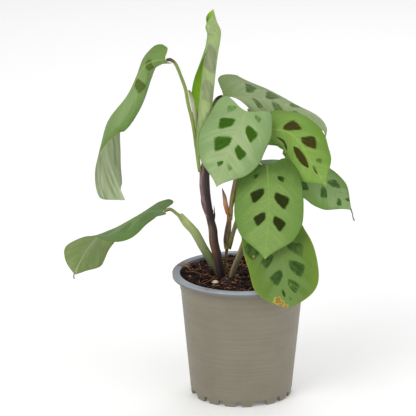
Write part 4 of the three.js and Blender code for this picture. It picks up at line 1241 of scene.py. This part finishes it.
def wing_grid(rows=40, columns=15):
    """Points stalk + side (clear + width out) + back out^2, with width = narrow + wide sin(pi t^0.7)."""
    t, out = np.linspace(0, 1, rows)[:, None], np.linspace(0, 1, columns)[None, :]
    u = WING["start"] + (WING["end"] - WING["start"]) * t
    known = np.linspace(0, 1, 400)
    curve = curve_at(STEMS["stalk_tall"]["path"], known)
    centre = looked_up(curve, known, u[:, 0])
    along = looked_up(unit(np.gradient(curve, axis=0)), known, u[:, 0])
    side = unit(np.cross((0, 1, 0), along))
    width = WING["narrow"] * np.sqrt(np.clip((1 - t) / 0.1, 0, 1)) + WING["width"] * np.sin(np.pi * t ** 0.7)
    sheet = centre[:, None] + side[:, None] * (WING["clear"] + width * out)[..., None]
    sheet[..., 1] += WING["back"] * (out ** 2 + 0 * t)
    thick = (0.3 - 0.12 * out)[..., None] * sheet_normal(sheet)
    return there_and_back(sheet, sheet + thick, sheet - thick)


papery = dry_skin("papery sheath", WING_TONES, (8, 60), (140, 146, 108), 0.4, 0.5, edge=(112, 92, 88))
wing = Grids()
wing.add(wing_grid())
belongs(wing.piece("sheath_wing_skin", [papery]), "sheath", "sheath_wing")

# %% [markdown]
# On the soil lie a grain of perlite, crumbs of bark and short fibres. One tube or lump per crumb as its own
# object would be slow, so each kind is one mesh: a small grid repeated at many places at once.

# %% Lumps and loose bits


def spun(x, y, turn):
    """x and y after a turn about the upright axis."""
    c, s = np.cos(turn), np.sin(turn)
    return x * c - y * s, x * s + y * c


def lumps(centres, radii, turns, rings=6, sides=8, rough=0.25, seed=5):
    """Balls pressed to three radii, turned about the upright axis and dented by a sine of their angles."""
    up = np.linspace(0, np.pi, rings)[None, :, None]
    about = np.linspace(0, 2 * np.pi, sides, endpoint=False)[None, None, :]
    phase = np.random.default_rng(seed).uniform(0, 6.3, (len(centres), 3))[:, None, None, :]
    dent = 1 + rough * np.sin(2 * about + phase[..., 0]) * np.sin(up + phase[..., 1]) * np.sin(up)
    level = dent * np.sin(up)
    ball = np.stack([level * np.cos(about), level * np.sin(about), np.cos(up) + 0 * dent], -1)
    ball = ball * radii[:, None, None, :]
    x, y = spun(ball[..., 0], ball[..., 1], turns[:, None, None])
    return np.stack([x, y, ball[..., 2]], -1) + centres[:, None, None, :]


def on_soil(count, seed, reach=50.5):
    """Random places on the soil, evenly spread over the disc."""
    dice = np.random.default_rng(seed)
    radius, angle = reach * np.sqrt(dice.uniform(0, 1, count)), dice.uniform(0, 2 * np.pi, count)
    x, y = radius * np.cos(angle), radius * np.sin(angle)
    return np.stack([x, y, soil_height(x, y)], -1)


def many(name, grids, material, **values):
    """One object from many separate small grids."""
    pile = Grids()
    for k, grid in enumerate(grids):
        pile.add(grid, **{key: np.full(grid.shape[:2], numbers[k]) for key, numbers in values.items()})
    return pile.piece(name, [material])


def loose_skin(name, tones, size, detail, over, low, high, rough, depth, shine):
    """The tone of each bit picks its colour, and a fine cloud darkens it here and there."""
    made = Recipe(name)
    grain = made.cloud(size, detail)
    colour = made.layers(made.steps(made.attribute("tone"), tones), (grain, low, high, 0, 0.6, over))
    return made.done(colour, rough, made.relief(grain, depth), Specular_IOR_Level=shine)


print("ready to strew")

# %% [markdown]
# Bark crumbs are rounded, angular lumps of a millimetre or two, half sunk in. Most are dark, and a few
# show reddish wood, so each crumb has a tone and the darker tones are the more likely ones.

# %% Bark crumbs
CRUMBS = 420
CRUMB_TONES = [(0, (10, 7, 7)), (0.55, (32, 18, 16)), (0.85, (84, 44, 34)), (1, (140, 88, 60))]
crumb_skin = loose_skin("bark crumbs", CRUMB_TONES, 1100, 3, (20, 13, 11), 0.4, 0.7, 0.9, 0.0004, 0.25)
crumb_places = on_soil(CRUMBS, 21)
crumb_sizes = chance.uniform(0.5, 1.9, (CRUMBS, 3)) * [1.4, 0.9, 0.7]
crumb_places[:, 2] += 0.2 * crumb_sizes[:, 2]
crumb_lumps = lumps(crumb_places, crumb_sizes, chance.uniform(0, 6.3, CRUMBS))
crumb_tones = chance.uniform(0, 1, CRUMBS) ** 1.5
belongs(many("bark_crumbs", crumb_lumps, crumb_skin, tone=crumb_tones), "soil")

# %% [markdown]
# Peat fibres are thin threads, some bowed and some with one end in the air. Short ones lie everywhere,
# longer ones on the left, and a few lie over the rim there and at the front.

# %% Fibres
FIBRES, LONG_FIBRES = 760, 84
FIBRE_TONES = [(0, (24, 12, 12)), (0.5, (78, 42, 32)), (0.72, (150, 94, 66)), (1, (232, 196, 158))]
OVER_RIM = [
    [(-40, 12, 106), (-46, 16, 109), (-50, 18, 109.6), (-54, 20, 109.4)],
    [(-43, 9, 106), (-47, 13, 109), (-51, 16, 109.6), (-52, 22, 109.4)],
    [(-44, 16, 107), (-49, 15, 109.6), (-53, 18, 109.4), (-56, 17, 109.6)],
    [(-41, 19, 107), (-46, 20, 109.4), (-50, 22, 109.6), (-52, 26, 109.4)],
    [(-24, -42, 106), (-27, -47, 109), (-30, -49, 109.4), (-31, -52, 109.4)],
]


def fibre(place, turn, length, bow, lift, radius):
    """A thin thread: it runs off at its turn, bows sideways as a parabola and lifts at one end."""
    u = np.linspace(-0.5, 0.5, 8)
    x, y, z = length * u, bow * (1 - 4 * u ** 2), lift * (u + 0.5) ** 2
    path = np.stack([*spun(x, y, turn), z], -1) + place
    path[:, 2] = np.maximum(path[:, 2], soil_height(path[:, 0], path[:, 1]) + radius * 0.4)
    return stem_grid(path, [radius * 0.6] + [radius] * 5 + [radius * 0.4], sides=5, steps_per_point=1)


short_ones = zip(
    on_soil(FIBRES, 33, reach=48), chance.uniform(0, 6.3, FIBRES), chance.uniform(2.5, 13, FIBRES),
    chance.normal(0, 1.2, FIBRES), chance.exponential(0.9, FIBRES), chance.uniform(0.1, 0.36, FIBRES))
short_tones = chance.uniform(0, 1, FIBRES) ** 1.5
dice = np.random.default_rng(77)
long_places = on_soil(LONG_FIBRES, 58, reach=44)
long_places[:, 0] = -np.abs(long_places[:, 0])
long_ones = zip(
    long_places, dice.uniform(0, 6.3, LONG_FIBRES), dice.uniform(9, 20, LONG_FIBRES),
    dice.normal(0, 2.5, LONG_FIBRES), dice.uniform(0, 4, LONG_FIBRES), dice.uniform(0.16, 0.34, LONG_FIBRES))
fibres = [fibre(*numbers) for batch in (short_ones, long_ones) for numbers in batch]
fibres += [stem_grid(path, [0.2, 0.35, 0.35, 0.15], sides=6, steps_per_point=4) for path in OVER_RIM]
fibre_tones = np.r_[short_tones, dice.uniform(0.3, 0.92, LONG_FIBRES), np.full(len(OVER_RIM), 0.85)]
fibre_skin = loose_skin("peat fibres", FIBRE_TONES, 700, 2, (44, 26, 20), 0.45, 0.75, 0.8, 0.0002, 0.3)
belongs(many("peat_fibres", fibres, fibre_skin, tone=fibre_tones), "soil")

# %% [markdown]
# Perlite is puffed glass, cream-white and full of tiny pits. The crown is the dark, rough base from which
# the canes grow. Both are one dented ball each, finer than the crumbs because there is just one of it.

# %% Perlite grain and crown


def pitted_skin(name, cloud, high, dark, pale, depth):
    """Darker in the pits, as painted shade, and pale between them. The cloud that colours it also gives the
    relief.
    """
    made = Recipe(name)
    pits = made.cloud(*cloud)
    return made.done(made.layers(dark, (pits, 0.35, high, 0, 1, pale)), 0.85, made.relief(pits, depth))


# In both, the darker colour lies in the pits: painted shade.
perlite = pitted_skin("perlite", (1500, 3), 0.6, (196, 178, 140), (252, 244, 222), 0.0004)
crown_bark = pitted_skin("crown bark", (500, 4, 0.6), 0.7, (38, 24, 24), (70, 44, 40), 0.0008)
SINGLE = {
    "perlite_lump": (perlite, "perlite", "perlite_grain", (-23, -25.5, 107.6), (3, 2.3, 1.8), 24, 32, 0.12),
    "crown_lump": (crown_bark, "cane", "crown", (-13.5, -21, 106.4), (5, 4, 3.4), 30, 40, 0.2),
}
for name, (skin, slot, node, centre, radii, rings, sides, dent) in SINGLE.items():
    shape = lumps(np.array([centre], float), np.array([radii], float), np.zeros(1), rings, sides, dent)
    belongs(many(name, shape, skin), slot, node)
